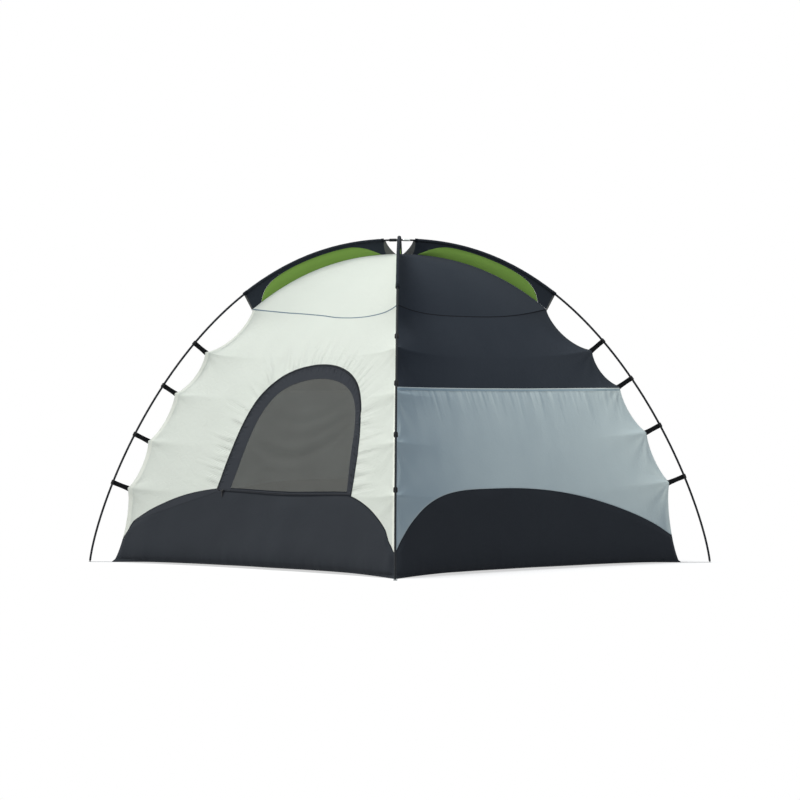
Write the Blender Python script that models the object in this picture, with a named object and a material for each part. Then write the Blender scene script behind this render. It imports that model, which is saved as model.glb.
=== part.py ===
"""Inner tent of a dome tent, pitched on two crossed poles.

Metres, +Z up. The origin is on the ground under the crown. The floor is square, with its sides along X and Y,
and each pole stands in a vertical plane over one diagonal of the floor.
A point on a pole is given by its angle, 0 at the foot, a quarter turn at the crown and half a turn at the far foot.
A point on a fabric wall is given by u, -1 to 1 from the wall's left corner to its right one, and by that angle.
"""

import bmesh
import bpy
from math import asin, atan2, cos, exp, hypot, pi, radians, sin, sqrt
from mathutils import Vector

FABRIC = 0.003  # thickness of a fabric solid
FLOOR_FABRIC = 0.004
SEAM_GAP = 0.002
CORNER_GAP = 0.0003

# Poles: a superellipse arch, wider at the shoulders than a half circle
POLE_FOOT = 1.852
POLE_CROWN = 1.925
POLE_WIDTH_POWER = 2.214
POLE_HEIGHT_POWER = 1.329
POLE_RADIUS = 0.0055
POLE_BORE = 0.0030
POLE_SIDES = 8
UPPER_POLE_LIFT = 0.0118
TIP_RADIUS = 0.0030
TIP_END = 0.0008
TIP_SHOULDER = 0.0090
TIP_PLUG = 0.030
FERRULE = (0.021, 0.063)
FERRULE_RADIUS = 0.0070
FERRULE_BORE = 0.0059
COLLAR = (0.015, 0.062)
COLLAR_RADIUS = 0.0066
SHOCK_CORD_RADIUS = 0.0016

# Legs run anticlockwise, seen from above, and each fabric wall stands between two of them
LEGS = ("front_left", "front_right", "rear_right", "rear_left")
FACES = {
    "front": ("front_left", "front_right"),
    "right": ("front_right", "rear_right"),
    "rear": ("rear_right", "rear_left"),
    "left": ("rear_left", "front_left"),
}
DOOR_FACES = ("front", "rear")

# Clip straps: heights of their hooks on each leg, lowest first, and the reach of each strap
CLIP_HEIGHTS = {
    "front_left": (0.477, 0.765, 1.056, 1.309),
    "front_right": (0.483, 0.780, 1.061, 1.322),
    "rear_right": (0.514, 0.819, 1.099, 1.322),
    "rear_left": (0.490, 0.785, 1.070, 1.318),
}
CLIP_REACH = (0.093, 0.088, 0.082, 0.082)
CLIP_WIDTH = 0.025
STRAP_THICKNESS = 0.0024
HOOK_GAP = 0.0007
HOOK_WALL = 0.0045

# Corner tabs: the reach from each pole's foot to the floor's corner
TAB_REACH = {"front_left": 0.128, "front_right": 0.150, "rear_right": 0.168, "rear_left": 0.150}
TAB_WIDTH = 0.020
TAB_THICKNESS = 0.0012
TAB_LEVEL = 0.0008
FOOT_ANGLE = 0.08

# Canopy: the reach of its corner seams from the poles, and how far they sag between two clips
FIN_FOOT_HEIGHT = 1.604
FIN_SEAM_HEIGHT = 1.590
FIN_FOOT_REACH = 0.102
CROWN_REACH = 0.083
SCALLOPS = (0.052, 0.032, 0.036, 0.044, 0.058)
SCALLOP_FADE = 0.16
WALL_SLACK = 0.02
WALL_BOW = 0.095
BOW_POWER = 2.6
FLOOR_LIFT = 0.018
FLOOR_TURN_UP = 0.15
FLOOR_CORNER_DRAW = 0.008
SIDE_SEAM_HEIGHT = 1.095

# Top edge of the tub: its height at both corners, on top, and where it levels out along u
TUB_EDGES = {
    "door": {"left": (0.205, -0.20, 2.5), "right": (0.145, 0.30, 3.3), "top": 0.457},
    "side": {"left": (0.150, -0.22, 3.6), "right": (0.165, -0.22, 2.4), "top": 0.470},
}
SILL_HEIGHT = 0.438

# Door: an arch over the sill, with a mesh window set off centre in a fabric border
DOOR_ARCH = {"centre": 0.151, "half": 0.603, "taper": 0.172, "power": 6.5, "base": SILL_HEIGHT, "top": 1.172}
WINDOW_ARCH = {"centre": 0.180, "half": 0.519, "taper": 0.148, "power": 7.5, "base": 0.456, "top": 1.092}
HINGE_FOOT = (0.712, 0.440)
HINGE_HEAD = (0.648, 0.850)
HINGE_CLEARANCE = 0.002
HINGE_BORDER = 0.038
ZIP_EDGE = 0.0020
ZIP_WIDTH = 0.0060
ZIP_THICKNESS = 0.0044
DOOR_CLEARANCE = 0.0100
SLIDER_PARK = -0.395
SLIDER_TRAVEL = 0.50
SLIDER_DROP = 0.0035
SLIDER_CLEARANCE = 0.0010
SLIDER_SIZE = (0.024, 0.0125, 0.0040)
SLIDER_PIN_HEIGHT = 0.0110
SLIDER_LOOP = 0.0035
PULL_SIZE = (0.008, 0.038, 0.0020)

# Fins: fabric gussets under the poles, from the shoulders to a mesh corner at the crown
FIN_STATIONS = 10
FIN_CROWN_ANGLES = (radians(88.14), radians(89.55))
FIN_CURVE_IN = 0.015
SLEEVE_END = radians(87.85)
SLEEVE_RADIUS = 0.0100
SLEEVE_BORE = 0.0068
GUSSET_SPAN = (0.075, 0.925)
GUSSET_NEAREST = 0.020
GUSSET_FALLS = (0.067, 0.195)
GUSSET_END = 0.006

GRID_COLUMNS = 10


def superellipse(angle):
    """The arch in its own plane: distance from the tent's axis, negative past the crown, and height."""
    reach = abs(cos(angle)) ** (2 / POLE_WIDTH_POWER)
    height = max(sin(angle), 0.0) ** (2 / POLE_HEIGHT_POWER)
    return POLE_FOOT * (reach if cos(angle) > 0 else -reach), POLE_CROWN * height


def pole_point(leg, angle):
    """Centre line of the pole on a leg. The pole to the front right crosses over the other one."""
    r, z = superellipse(angle)
    if leg in ("front_right", "rear_left"):
        z += UPPER_POLE_LIFT * (z / POLE_CROWN) ** 4
    return r, z


def inward(point_at, angle):
    """Unit normal of an arch, towards the tent."""
    step = 1e-4
    (r0, z0), (r1, z1) = point_at(max(angle - step, 0.0)), point_at(angle + step)
    length = hypot(r1 - r0, z1 - z0)
    return (z0 - z1) / length, (r1 - r0) / length


def angle_at_height(height):
    return asin((height / POLE_CROWN) ** (POLE_HEIGHT_POWER / 2))


def seam_marks(leg):
    """Angles where the corner seam is held, with its reach from the pole there."""
    clips = [angle_at_height(height) for height in CLIP_HEIGHTS[leg]]
    angles = [0.0, *clips, angle_at_height(FIN_SEAM_HEIGHT), pi / 2]
    return list(zip(angles, (TAB_REACH[leg], *CLIP_REACH, FIN_FOOT_REACH, CROWN_REACH)))


def between_marks(marks, angle):
    """Index of the stretch that an angle lies in, its share by height, and the straight reach there."""
    index = 0
    while index < len(marks) - 2 and angle > marks[index + 1][0]:
        index += 1
    (a0, reach0), (a1, reach1) = marks[index], marks[index + 1]
    if index < len(SCALLOPS):
        z, z0, z1 = (superellipse(a)[1] for a in (angle, a0, a1))
        share = (z - z0) / (z1 - z0)
    else:
        share = (angle - a0) / (a1 - a0)
    share = min(max(share, 0.0), 1.0)
    return index, share, reach0 + (reach1 - reach0) * share


def seam_reach(leg, angle):
    """Reach of the corner seam, which hangs in a scallop between two clips."""
    index, share, reach = between_marks(seam_marks(leg), angle)
    depth = SCALLOPS[index] if index < len(SCALLOPS) else 0.0
    return reach + depth * (4 * share * (1 - share)) ** 0.75


def mean_reach(angle):
    """Reach of the even arch that the middle of each wall follows."""
    index, share, reach = between_marks(seam_marks("rear_left"), angle)
    slack = share if index == 0 else 1 - share if index == len(SCALLOPS) else 1
    return reach + WALL_SLACK * slack


def offset_arch(reach_at, angle):
    """An arch at a reach from the pole's, which runs straight to the floor's corner at its foot."""
    share = min(angle / FOOT_ANGLE, 1.0)
    angle = max(angle, FOOT_ANGLE)
    r, z = superellipse(angle)
    nr, nz = inward(superellipse, angle)
    r, z = max(r + nr * reach_at(angle), 0.0), z + nz * reach_at(angle)
    corner = POLE_FOOT - reach_at(0.0)
    return corner + (r - corner) * share, z * share


def seam_point(leg, angle):
    return offset_arch(lambda a: seam_reach(leg, a), angle)


def mean_point(angle):
    return offset_arch(mean_reach, angle)


def corner_fade(distance):
    """How much of a corner seam's shape is left in a wall at a distance from the seam."""
    return exp(-((distance / SCALLOP_FADE) ** 1.3))


def wall_point(face, u, angle):
    """A point of a wall in its own axes: along it, out from the tent's axis, and up."""
    leg = FACES[face][0 if u < 0 else 1]
    r, z = mean_point(angle)
    seam_r, seam_z = seam_point(leg, angle)
    fade = corner_fade((1 - abs(u)) * max(r, 0.02) / sqrt(2))
    r += fade * (seam_r - r)
    z += fade * (seam_z - z)
    step = 1e-3
    (r0, z0), (r1, z1) = mean_point(max(angle - step, 0.0)), mean_point(min(angle + step, pi / 2))
    rise, run = z1 - z0, (r0 - r1) / sqrt(2)
    length = hypot(rise, run)
    bow = WALL_BOW * cos(angle) ** 0.6 * (1 - abs(u) ** BOW_POWER)
    return u * r / sqrt(2), r / sqrt(2) - bow * rise / length, max(z - bow * run / length, 0.0)


def to_tent(face, along, out, up):
    """From a wall's own axes to the tent's."""
    return {
        "front": Vector((along, -out, up)),
        "right": Vector((out, along, up)),
        "rear": Vector((-along, out, up)),
        "left": Vector((-out, -along, up)),
    }[face]


def tub_edge(face, u):
    """Height of the tub's top edge, an arch that a door's sill cuts level."""
    edge = TUB_EDGES["door" if face in DOOR_FACES else "side"]
    side, level, power = edge["left"] if u < edge["left"][1] else edge["right"]
    end = -1 if u < edge["left"][1] else 1
    share = max((u - level) / (end - level), 0.0)
    height = side + (edge["top"] - side) * (1 - share**power)
    return min(height, SILL_HEIGHT) if face in DOOR_FACES else height


def angle_on_wall(face, u, height):
    low, high = 0.0, pi / 2
    for _ in range(30):
        middle = (low + high) / 2
        if wall_point(face, u, middle)[2] < height:
            low = middle
        else:
            high = middle
    return low


def wall_normal(face, u, angle):
    """Outward normal of a wall in its own axes."""
    step = 1e-3
    u, angle = min(max(u, step - 1), 1 - step), min(max(angle, step), pi / 2 - 0.02)
    across = Vector(wall_point(face, u + step, angle)) - Vector(wall_point(face, u - step, angle))
    upward = Vector(wall_point(face, u, angle + step)) - Vector(wall_point(face, u, angle - step))
    normal = upward.cross(across).normalized()
    return normal if normal.y > 0 else -normal


def on_wall(face, along, up):
    """The wall's point at a distance along it and a height, and its outward normal there."""
    u, angle = along, angle_at_height(up + 0.02)
    for _ in range(12):
        angle = angle_on_wall(face, u, up)
        width = wall_point(face, 1, angle)[0]
        u += (along - wall_point(face, u, angle)[0]) / width
    return Vector(wall_point(face, u, angle)), wall_normal(face, u, angle)


def leg_point(leg, r, z, side=0.0):
    """A point in a leg's diagonal plane, or at a distance to one side of it."""
    sx, sy = {"front_left": (-1, -1), "front_right": (1, -1), "rear_right": (1, 1), "rear_left": (-1, 1)}[leg]
    return Vector(((sx * r - sy * side) / sqrt(2), (sy * r + sx * side) / sqrt(2), z))


def material(name, colour, roughness, metallic=0.0):
    """A plain surface. The colour is written as sRGB, from 0 to 255."""
    made = bpy.data.materials.get(name)
    if made is None:
        made = bpy.data.materials.new(name)
        made.use_nodes = True
        linear = [((c / 255 + 0.055) / 1.055) ** 2.4 if c > 10 else c / 255 / 12.92 for c in colour]
        shader = made.node_tree.nodes["Principled BSDF"]
        shader.inputs["Base Color"].default_value = (*linear, 1.0)
        shader.inputs["Roughness"].default_value = roughness
        shader.inputs["Metallic"].default_value = metallic
    return made


def white_fabric():
    return material("white_polyester", (226, 232, 224), 0.75)


def dark_fabric():
    return material("dark_polyester", (44, 49, 56), 0.75)


def blue_grey_fabric():
    return material("blue_grey_polyester", (140, 156, 164), 0.75)


def tub_fabric():
    return material("coated_tub_fabric", (40, 44, 51), 0.55)


def green_fabric():
    return material("green_polyester", (120, 156, 74), 0.75)


def mesh_fabric():
    return material("door_mesh", (96, 98, 95), 0.85)


def webbing():
    return material("black_webbing", (18, 20, 23), 0.8)


def pole_fibreglass():
    return material("black_fibreglass", (38, 42, 47), 0.4)


def zip_nylon():
    return material("black_nylon_coil", (26, 28, 32), 0.5)


def painted_zinc():
    return material("painted_zinc", (30, 32, 35), 0.35, 0.6)


def elastic_cord():
    return material("elastic_cord", (210, 210, 205), 0.9)


def finish(bm, name, surface, smooth=False, parent=None):
    """Makes a named object from a bmesh, with its faces pointing out."""
    bmesh.ops.remove_doubles(bm, verts=bm.verts, dist=1e-6)
    bmesh.ops.recalc_face_normals(bm, faces=bm.faces)
    mesh = bpy.data.meshes.new(name)
    bm.to_mesh(mesh)
    bm.free()
    if smooth:
        mesh.shade_smooth()
        mesh.set_sharp_from_angle(angle=radians(40))
    mesh.materials.append(surface)
    made = bpy.data.objects.new(name, mesh)
    bpy.context.collection.objects.link(made)
    if parent is not None:
        made.parent = parent
        made.matrix_parent_inverse = parent.matrix_world.inverted()
    return made


def as_cutter(made):
    made.hide_render = True
    made.display_type = "WIRE"
    return made


def boolean(made, operation, other):
    step = made.modifiers.new(f"{operation}_{other.name}".lower(), "BOOLEAN")
    step.operation = operation
    step.solver = "EXACT"
    step.object = other


def thicken(bm, outward):
    """Closes a sheet into a solid, whose outer skin is the sheet."""
    swept = bmesh.ops.extrude_face_region(bm, geom=bm.faces[:])["geom"]
    for vert in swept:
        if isinstance(vert, bmesh.types.BMVert):
            vert.co -= vert[outward] * FABRIC


def mitre(bm, face):
    """Cuts a wall's sheet square to the corner's diagonal plane, just short of it."""
    turn = {"front": (0, -1), "right": (1, 0), "rear": (0, 1), "left": (-1, 0)}[face]
    for vert in bm.verts:
        out = max(vert.co.x * turn[0] + vert.co.y * turn[1], 2 * CORNER_GAP)
        along = -vert.co.x * turn[1] + vert.co.y * turn[0]
        along = min(max(along, CORNER_GAP - out), out - CORNER_GAP)
        vert.co = (out * turn[0] - along * turn[1], out * turn[1] + along * turn[0], max(vert.co.z, 0.0))


def wall_sheet(name, face, rows, low, high, surface, join=0.0):
    """A stretch of one wall, from corner to corner, between two edges given as angles over u."""
    bm = bmesh.new()
    outward = bm.verts.layers.float_vector.new("outward")
    bmesh.ops.create_grid(bm, x_segments=GRID_COLUMNS, y_segments=rows, size=1.0)
    for vert in bm.verts:
        u = sin(vert.co.x * pi / 2)
        share = (vert.co.y + 1) / 2
        start, end = low(u), high(u)
        angle = start + (end - start) * share
        along, out, up = wall_point(face, u, angle)
        up += join * FLOOR_LIFT * (1 - abs(u) ** BOW_POWER) * (1 - share) ** 2
        vert.co = to_tent(face, along, out, up)
        vert[outward] = to_tent(face, *wall_normal(face, u, angle))
    bmesh.ops.remove_doubles(bm, verts=bm.verts, dist=1e-5)
    thicken(bm, outward)
    mitre(bm, face)
    return finish(bm, name, surface, smooth=True)


def groundsheet():
    """The tub's floor, whose edges draw in between the corners and turn up a little."""
    bm = bmesh.new()
    bmesh.ops.create_grid(bm, x_segments=GRID_COLUMNS, y_segments=GRID_COLUMNS, size=1.0)
    even = mean_point(0.0)[0]
    half = even / sqrt(2) - FABRIC - SEAM_GAP
    turned = 1 - FLOOR_TURN_UP
    for vert in bm.verts:
        x, y = sin(vert.co.x * pi / 2), sin(vert.co.y * pi / 2)
        full_x, full_y = 1 - abs(x) ** BOW_POWER, 1 - abs(y) ** BOW_POWER
        edge_x, edge_y = (max((abs(t) - turned) / FLOOR_TURN_UP, 0.0) ** 2 for t in (x, y))
        lift = FLOOR_LIFT * max(full_x * edge_y, full_y * edge_x)
        half_x = half - WALL_BOW * full_y - FLOOR_CORNER_DRAW * abs(y) ** 6
        half_y = half - WALL_BOW * full_x - FLOOR_CORNER_DRAW * abs(x) ** 6
        leg = FACES["front" if y < 0 else "rear"][0 if x * y > 0 else 1]
        away = hypot(1 - abs(x), 1 - abs(y)) * even / sqrt(2)
        draw = corner_fade(away) * (seam_point(leg, 0.0)[0] - even) / sqrt(2)
        vert.co = (x * (half_x + draw), y * (half_y + draw), lift)
    bmesh.ops.recalc_face_normals(bm, faces=bm.faces)
    if bm.faces[0].normal.z > 0:
        bmesh.ops.reverse_faces(bm, faces=bm.faces)
    bmesh.ops.solidify(bm, geom=bm.faces[:], thickness=FLOOR_FABRIC)
    return finish(bm, "groundsheet", tub_fabric())


def tub_and_walls(face):
    """The tub's side, the wall over it in one piece or two, and the roof panel."""
    gap = SEAM_GAP / POLE_FOOT
    roof = angle_at_height(FIN_SEAM_HEIGHT)
    side_seam = angle_at_height(SIDE_SEAM_HEIGHT)

    def tub_top(u):
        return angle_on_wall(face, u, tub_edge(face, u))

    def wall_foot(u):
        return tub_top(u) + gap * (1 + abs(u) ** 8)

    wall_sheet(f"tub_wall_{face}", face, 4, lambda u: 0.0, tub_top, tub_fabric(), join=1.0)
    if face in DOOR_FACES:
        wall = wall_sheet(f"wall_panel_{face}", face, 12, wall_foot, lambda u: roof, white_fabric())
        boolean(wall, "DIFFERENCE", door_cutter(face))
        wall_sheet(f"roof_panel_{face}", face, 5, lambda u: roof + gap, lambda u: pi / 2, white_fabric())
        return
    wall_sheet(f"wall_panel_lower_{face}", face, 7, wall_foot, lambda u: side_seam, blue_grey_fabric())
    wall_sheet(f"wall_panel_upper_{face}", face, 6, lambda u: side_seam + gap, lambda u: roof, dark_fabric())
    wall_sheet(f"roof_panel_{face}", face, 5, lambda u: roof + gap, lambda u: pi / 2, dark_fabric())


def hinge_along(up):
    """The hinge line's place along the wall at a height."""
    share = (up - HINGE_FOOT[1]) / (HINGE_HEAD[1] - HINGE_FOOT[1])
    return HINGE_FOOT[0] + (HINGE_HEAD[0] - HINGE_FOOT[0]) * share


def hinge_line(face):
    """Foot and head of the door's hinge: a straight line that just touches the outside of the curved wall."""
    foot, head = (on_wall(face, *end)[0] for end in (HINGE_FOOT, HINGE_HEAD))
    direction = (head - foot).normalized()
    outward = on_wall(face, *((a + b) / 2 for a, b in zip(HINGE_FOOT, HINGE_HEAD)))[1]
    outward = (outward - direction * outward.dot(direction)).normalized()
    heights = [HINGE_FOOT[1] + (HINGE_HEAD[1] - HINGE_FOOT[1]) * i / 12 for i in range(13)]
    bulge = max((on_wall(face, hinge_along(up), up)[0] - foot).dot(outward) for up in heights)
    return foot + outward * bulge, head + outward * bulge


def arch_line(arch, inset, hinge_gap, points=22):
    """An arch from its left foot over its top to its right foot, cut off by the hinge line."""
    line = []
    for i in range(points + 1):
        turn = pi * (0.5 - 0.5 * cos(pi * i / points))
        share = sin(turn) ** (2 / arch["power"]) if 0 < i < points else 0.0
        half = arch["half"] - inset - arch["taper"] * share
        up = arch["base"] + (arch["top"] - inset - arch["base"]) * share
        along = arch["centre"] - half * cos(turn)
        line.append((min(along, hinge_along(up) - hinge_gap), up))
    return line


def cut_level(line, foot):
    """An arch's line with its two ends moved up along it to a height."""
    ends = []
    for (a0, up0), (a1, up1) in ((line[0], line[1]), (line[-1], line[-2])):
        ends.append((a0 + (a1 - a0) * (foot - up0) / (up1 - up0), foot))
    return [ends[0], *line[1:-1], ends[1]]


def closed_arch(arch, inset, hinge_gap, foot, across=6):
    """An arch's line, closed along its foot at a height."""
    line = cut_level(arch_line(arch, inset, hinge_gap), foot)
    (left, _), (right, _) = line[0], line[-1]
    return line + [(right + (left - right) * i / across, foot) for i in range(1, across)]


def door_cutter(face):
    """The door's opening, as a block through the wall."""
    below, through = 0.06, 0.25
    line = arch_line(DOOR_ARCH, 0.0, -CORNER_GAP)
    line = [(line[0][0], SILL_HEIGHT - below), *line, (line[-1][0], SILL_HEIGHT - below)]
    depth = on_wall(face, DOOR_ARCH["centre"], 0.8)[0].y
    bm = bmesh.new()
    outline = bm.faces.new([bm.verts.new(to_tent(face, along, depth - through, up)) for along, up in line])
    swept = bmesh.ops.extrude_face_region(bm, geom=[outline])["geom"]
    shift = to_tent(face, 0, 2 * through, 0)
    bmesh.ops.translate(bm, verts=[v for v in swept if isinstance(v, bmesh.types.BMVert)], vec=shift)
    return as_cutter(finish(bm, f"door_opening_{face}", white_fabric()))


def sheet_of_loops(face, loops, centre=None):
    """A sheet on a wall between loops of equal count, closed over a centre if there is one, as a solid."""
    bm = bmesh.new()
    outward = bm.verts.layers.float_vector.new("outward")

    def vertex(point):
        place, normal = on_wall(face, *point)
        vert = bm.verts.new(to_tent(face, *place))
        vert[outward] = to_tent(face, *normal)
        return vert

    rings = [[vertex(point) for point in loop] for loop in loops]
    for outer, inner in zip(rings, rings[1:]):
        for i in range(len(outer)):
            j = (i + 1) % len(outer)
            bm.faces.new((outer[i], outer[j], inner[j], inner[i]))
    if centre is not None:
        hub = vertex(centre)
        for i in range(len(rings[-1])):
            bm.faces.new((rings[-1][i], rings[-1][(i + 1) % len(rings[-1])], hub))
    thicken(bm, outward)
    return bm


def door(face):
    """The door leaf: a fabric border with a mesh window, hinged along the border's sewn side."""
    foot, head = hinge_line(face)
    pivot = bpy.data.objects.new(f"door_hinge_{face}", None)
    pivot.location = to_tent(face, *((foot + head) / 2))
    bpy.context.collection.objects.link(pivot)
    bpy.context.view_layer.update()
    border = closed_arch(DOOR_ARCH, DOOR_CLEARANCE, HINGE_CLEARANCE, SILL_HEIGHT + DOOR_CLEARANCE)
    window = closed_arch(WINDOW_ARCH, 0.0, HINGE_BORDER, WINDOW_ARCH["base"])
    middle = (border, window)
    middle = [((a + b) / 2, (c + d) / 2) for (a, c), (b, d) in zip(*middle)]
    bm = sheet_of_loops(face, [border, middle, window])
    finish(bm, f"door_border_{face}", dark_fabric(), smooth=True, parent=pivot)
    pane = closed_arch(WINDOW_ARCH, SEAM_GAP, HINGE_BORDER + SEAM_GAP, WINDOW_ARCH["base"] + SEAM_GAP)
    centre = (WINDOW_ARCH["centre"], 0.76)
    rings = [pane]
    for share in (0.72, 0.36):
        rings.append([tuple(c + (p - c) * share for p, c in zip(point, centre)) for point in pane])
    bm = sheet_of_loops(face, rings, centre)
    finish(bm, f"door_mesh_{face}", mesh_fabric(), smooth=True, parent=pivot)


def strip_along(face, line, width, low, high):
    """A flat bar laid along a line on a wall, from one height over the surface to another."""
    bm = bmesh.new()
    rings = []
    for i, point in enumerate(line):
        before, after = line[max(i - 1, 0)], line[min(i + 1, len(line) - 1)]
        place, normal = on_wall(face, *point)
        arrive = (place - on_wall(face, *before)[0]).normalized()
        leave = (on_wall(face, *after)[0] - place).normalized()
        side = (arrive + leave).cross(normal).normalized()
        bend = arrive.angle(leave) if 0 < i < len(line) - 1 else 0.0
        reach = width / 2 / cos(bend / 2)
        corners = ((-reach, low), (reach, low), (reach, high), (-reach, high))
        rings.append([bm.verts.new(to_tent(face, *(place + side * a + normal * b))) for a, b in corners])
    for first, second in zip(rings, rings[1:]):
        for i in range(4):
            bm.faces.new((first[i], first[(i + 1) % 4], second[(i + 1) % 4], second[i]))
    bm.faces.new(rings[0])
    bm.faces.new(rings[-1][::-1])
    return bm


def door_zip(face):
    """The zip's coil, from the hinge's head over the arch and along the sill to the hinge's foot."""
    inset = ZIP_EDGE + ZIP_WIDTH / 2
    sill = SILL_HEIGHT + inset
    arch = cut_level(arch_line(DOOR_ARCH, inset, 0.0), sill)
    corner = arch[0]
    arch = [(along, up) for along, up in arch if up > sill + 0.02 and along < hinge_along(up) - ZIP_WIDTH]
    end = hinge_along(sill) - HINGE_CLEARANCE
    steps = 9
    bottom = [(corner[0] + (end - corner[0]) * i / steps, sill) for i in range(steps + 1)]
    line = arch[::-1] + bottom
    bm = strip_along(face, line, ZIP_WIDTH, -ZIP_THICKNESS / 2, ZIP_THICKNESS / 2)
    finish(bm, f"door_zip_{face}", zip_nylon())


def slider_axes(face):
    """Where the slider is parked on the sill's zip, with its axes along its travel, up the wall and out."""
    sill = SILL_HEIGHT + ZIP_EDGE + ZIP_WIDTH / 2
    place, normal = on_wall(face, SLIDER_PARK, sill)
    along = (on_wall(face, SLIDER_PARK + SLIDER_TRAVEL, sill)[0] - place).normalized()
    normal = (normal - along * normal.dot(along)).normalized()
    up = along.cross(normal)
    up = up if up.z > 0 else -up
    return place, along, up, normal


def block(size, rounding):
    """A block about its middle, with its corners rounded in plan."""
    bm = bmesh.new()
    bmesh.ops.create_cube(bm, size=1.0)
    bmesh.ops.scale(bm, vec=size, verts=bm.verts)
    upright = [e for e in bm.edges if abs(e.verts[0].co.z - e.verts[1].co.z) > size[2] / 2]
    bmesh.ops.bevel(
        bm, geom=upright, offset=rounding, segments=2, profile=0.5, affect="EDGES", material=-1
    )
    return bm


def set_on_axes(bm, face, place, along, up, out):
    """Turns a block from its own axes to those of a place on a wall."""
    for vert in bm.verts:
        x, y, z = vert.co
        vert.co = to_tent(face, *(place + along * x + up * y + out * z))


def zip_slider(face):
    """The slider, with the loop that holds its pull."""
    place, along, up, out = slider_axes(face)
    low = ZIP_THICKNESS / 2 + SLIDER_CLEARANCE
    long, wide, thick = SLIDER_SIZE
    holder = bpy.data.objects.new(f"slider_track_{face}", None)
    holder.location = to_tent(face, *place)
    bpy.context.collection.objects.link(holder)
    bpy.context.view_layer.update()
    bm = block((long, wide, thick), 0.004)
    set_on_axes(bm, face, place + out * (low + thick / 2) - up * SLIDER_DROP, along, up, out)
    body = finish(bm, f"zip_slider_{face}", painted_zinc(), parent=holder)
    pin = bmesh.new()
    bmesh.ops.create_cone(
        pin, cap_ends=True, segments=8, radius1=SLIDER_LOOP / 2, radius2=SLIDER_LOOP / 2, depth=long * 0.8
    )
    centre = slider_pin(face)
    for vert in pin.verts:
        x, y, z = vert.co
        vert.co = to_tent(face, *(centre + along * z + up * y + out * x))
    pin = as_cutter(finish(pin, f"slider_pin_{face}", painted_zinc(), parent=holder))
    posts = bmesh.new()
    for side in (-1, 1):
        post = bmesh.ops.create_cube(posts, size=1.0)["verts"]
        bmesh.ops.scale(posts, vec=(long * 0.2, wide * 0.45, SLIDER_PIN_HEIGHT - low - thick / 4), verts=post)
        bmesh.ops.translate(posts, vec=(side * long * 0.34, 0, 0), verts=post)
    middle = (SLIDER_PIN_HEIGHT + SLIDER_LOOP / 2 + low + thick / 2) / 2
    set_on_axes(posts, face, place + out * middle - up * SLIDER_DROP, along, up, out)
    posts = as_cutter(finish(posts, f"slider_posts_{face}", painted_zinc(), parent=holder))
    boolean(body, "UNION", posts)
    boolean(body, "UNION", pin)


def slider_pin(face):
    """Middle of the slider's cross pin, in the wall's own axes."""
    place, along, up, out = slider_axes(face)
    return place + out * SLIDER_PIN_HEIGHT - up * SLIDER_DROP


def zip_pull(face):
    """The pull, a flat tongue with an eye that hangs on the slider's cross pin and lies on the tub."""
    place, along, up, out = slider_axes(face)
    wide, long, thick = PULL_SIZE
    centre = slider_pin(face)
    foot = on_wall(face, SLIDER_PARK, SILL_HEIGHT - long * 0.9)[0]
    foot = foot + out * (thick / 2 + 0.0008)
    down = foot - centre
    down = (down - along * down.dot(along)).normalized()
    front = along.cross(down)
    front = front if front.dot(out) > 0 else -front
    eye = SLIDER_LOOP / 2 + 0.0004
    pivot = bpy.data.objects.new(f"pull_pin_{face}", None)
    pivot.location = to_tent(face, *centre)
    bpy.context.collection.objects.link(pivot)
    bpy.context.view_layer.update()
    bm = bmesh.new()
    barrel = [(cos(2 * pi * i / 10), sin(2 * pi * i / 10)) for i in range(10)]
    outer, inner = eye + 0.0012, eye
    rings = []
    for radius, side in ((outer, -1), (outer, 1), (inner, 1), (inner, -1)):
        edge = centre + along * (side * wide * 0.45)
        rings.append(
            [bm.verts.new(to_tent(face, *(edge + down * (radius * a) + front * (radius * b)))) for a, b in barrel]
        )
    for first, second in zip(rings, rings[1:] + rings[:1]):
        for i in range(10):
            bm.faces.new((first[i], first[(i + 1) % 10], second[(i + 1) % 10], second[i]))
    pull = finish(bm, f"zip_pull_{face}", painted_zinc(), parent=pivot)
    tongue = block((wide, long - eye, thick), 0.002)
    middle = centre + down * ((long + eye) / 2 + 0.0004)
    set_on_axes(tongue, face, middle, along, down, front)
    boolean(pull, "UNION", as_cutter(finish(tongue, f"pull_tongue_{face}", painted_zinc(), parent=pivot)))


def sweep(rings):
    """A closed body through rings of equal count, capped at both ends."""
    bm = bmesh.new()
    made = [[bm.verts.new(point) for point in ring] for ring in rings]
    count = len(made[0])
    for first, second in zip(made, made[1:]):
        for i in range(count):
            bm.faces.new((first[i], first[(i + 1) % count], second[(i + 1) % count], second[i]))
    bm.faces.new(made[0])
    bm.faces.new(made[-1][::-1])
    return bm


def pole_ring(leg, angle, radius, sides=POLE_SIDES, height=None):
    """A ring round a pole's centre line, square to it."""
    r, z = pole_point(leg, angle)
    nr, nz = inward(lambda a: pole_point(leg, a), angle) if height is None else (-1.0, 0.0)
    z = z if height is None else height
    turns = [2 * pi * (i + 0.5) / sides for i in range(sides)]
    return [leg_point(leg, r + nr * radius * cos(t), z + nz * radius * cos(t), radius * sin(t)) for t in turns]


def pole_stations(leg):
    """Angles of a leg's rings: at every clip, and at every station of its fin, up to the crown."""
    marks = [0.0, *(angle_at_height(height) for height in CLIP_HEIGHTS[leg]), angle_at_height(FIN_FOOT_HEIGHT)]
    angles = []
    for low, high in zip(marks, marks[1:]):
        angles += [low + (high - low) * i / 3 for i in range(3)]
    return angles + sleeve_stations()


def sleeve_stations():
    start = angle_at_height(FIN_FOOT_HEIGHT)
    return [start + (SLEEVE_END - start) * i / (FIN_STATIONS - 1) for i in range(FIN_STATIONS)]


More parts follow.
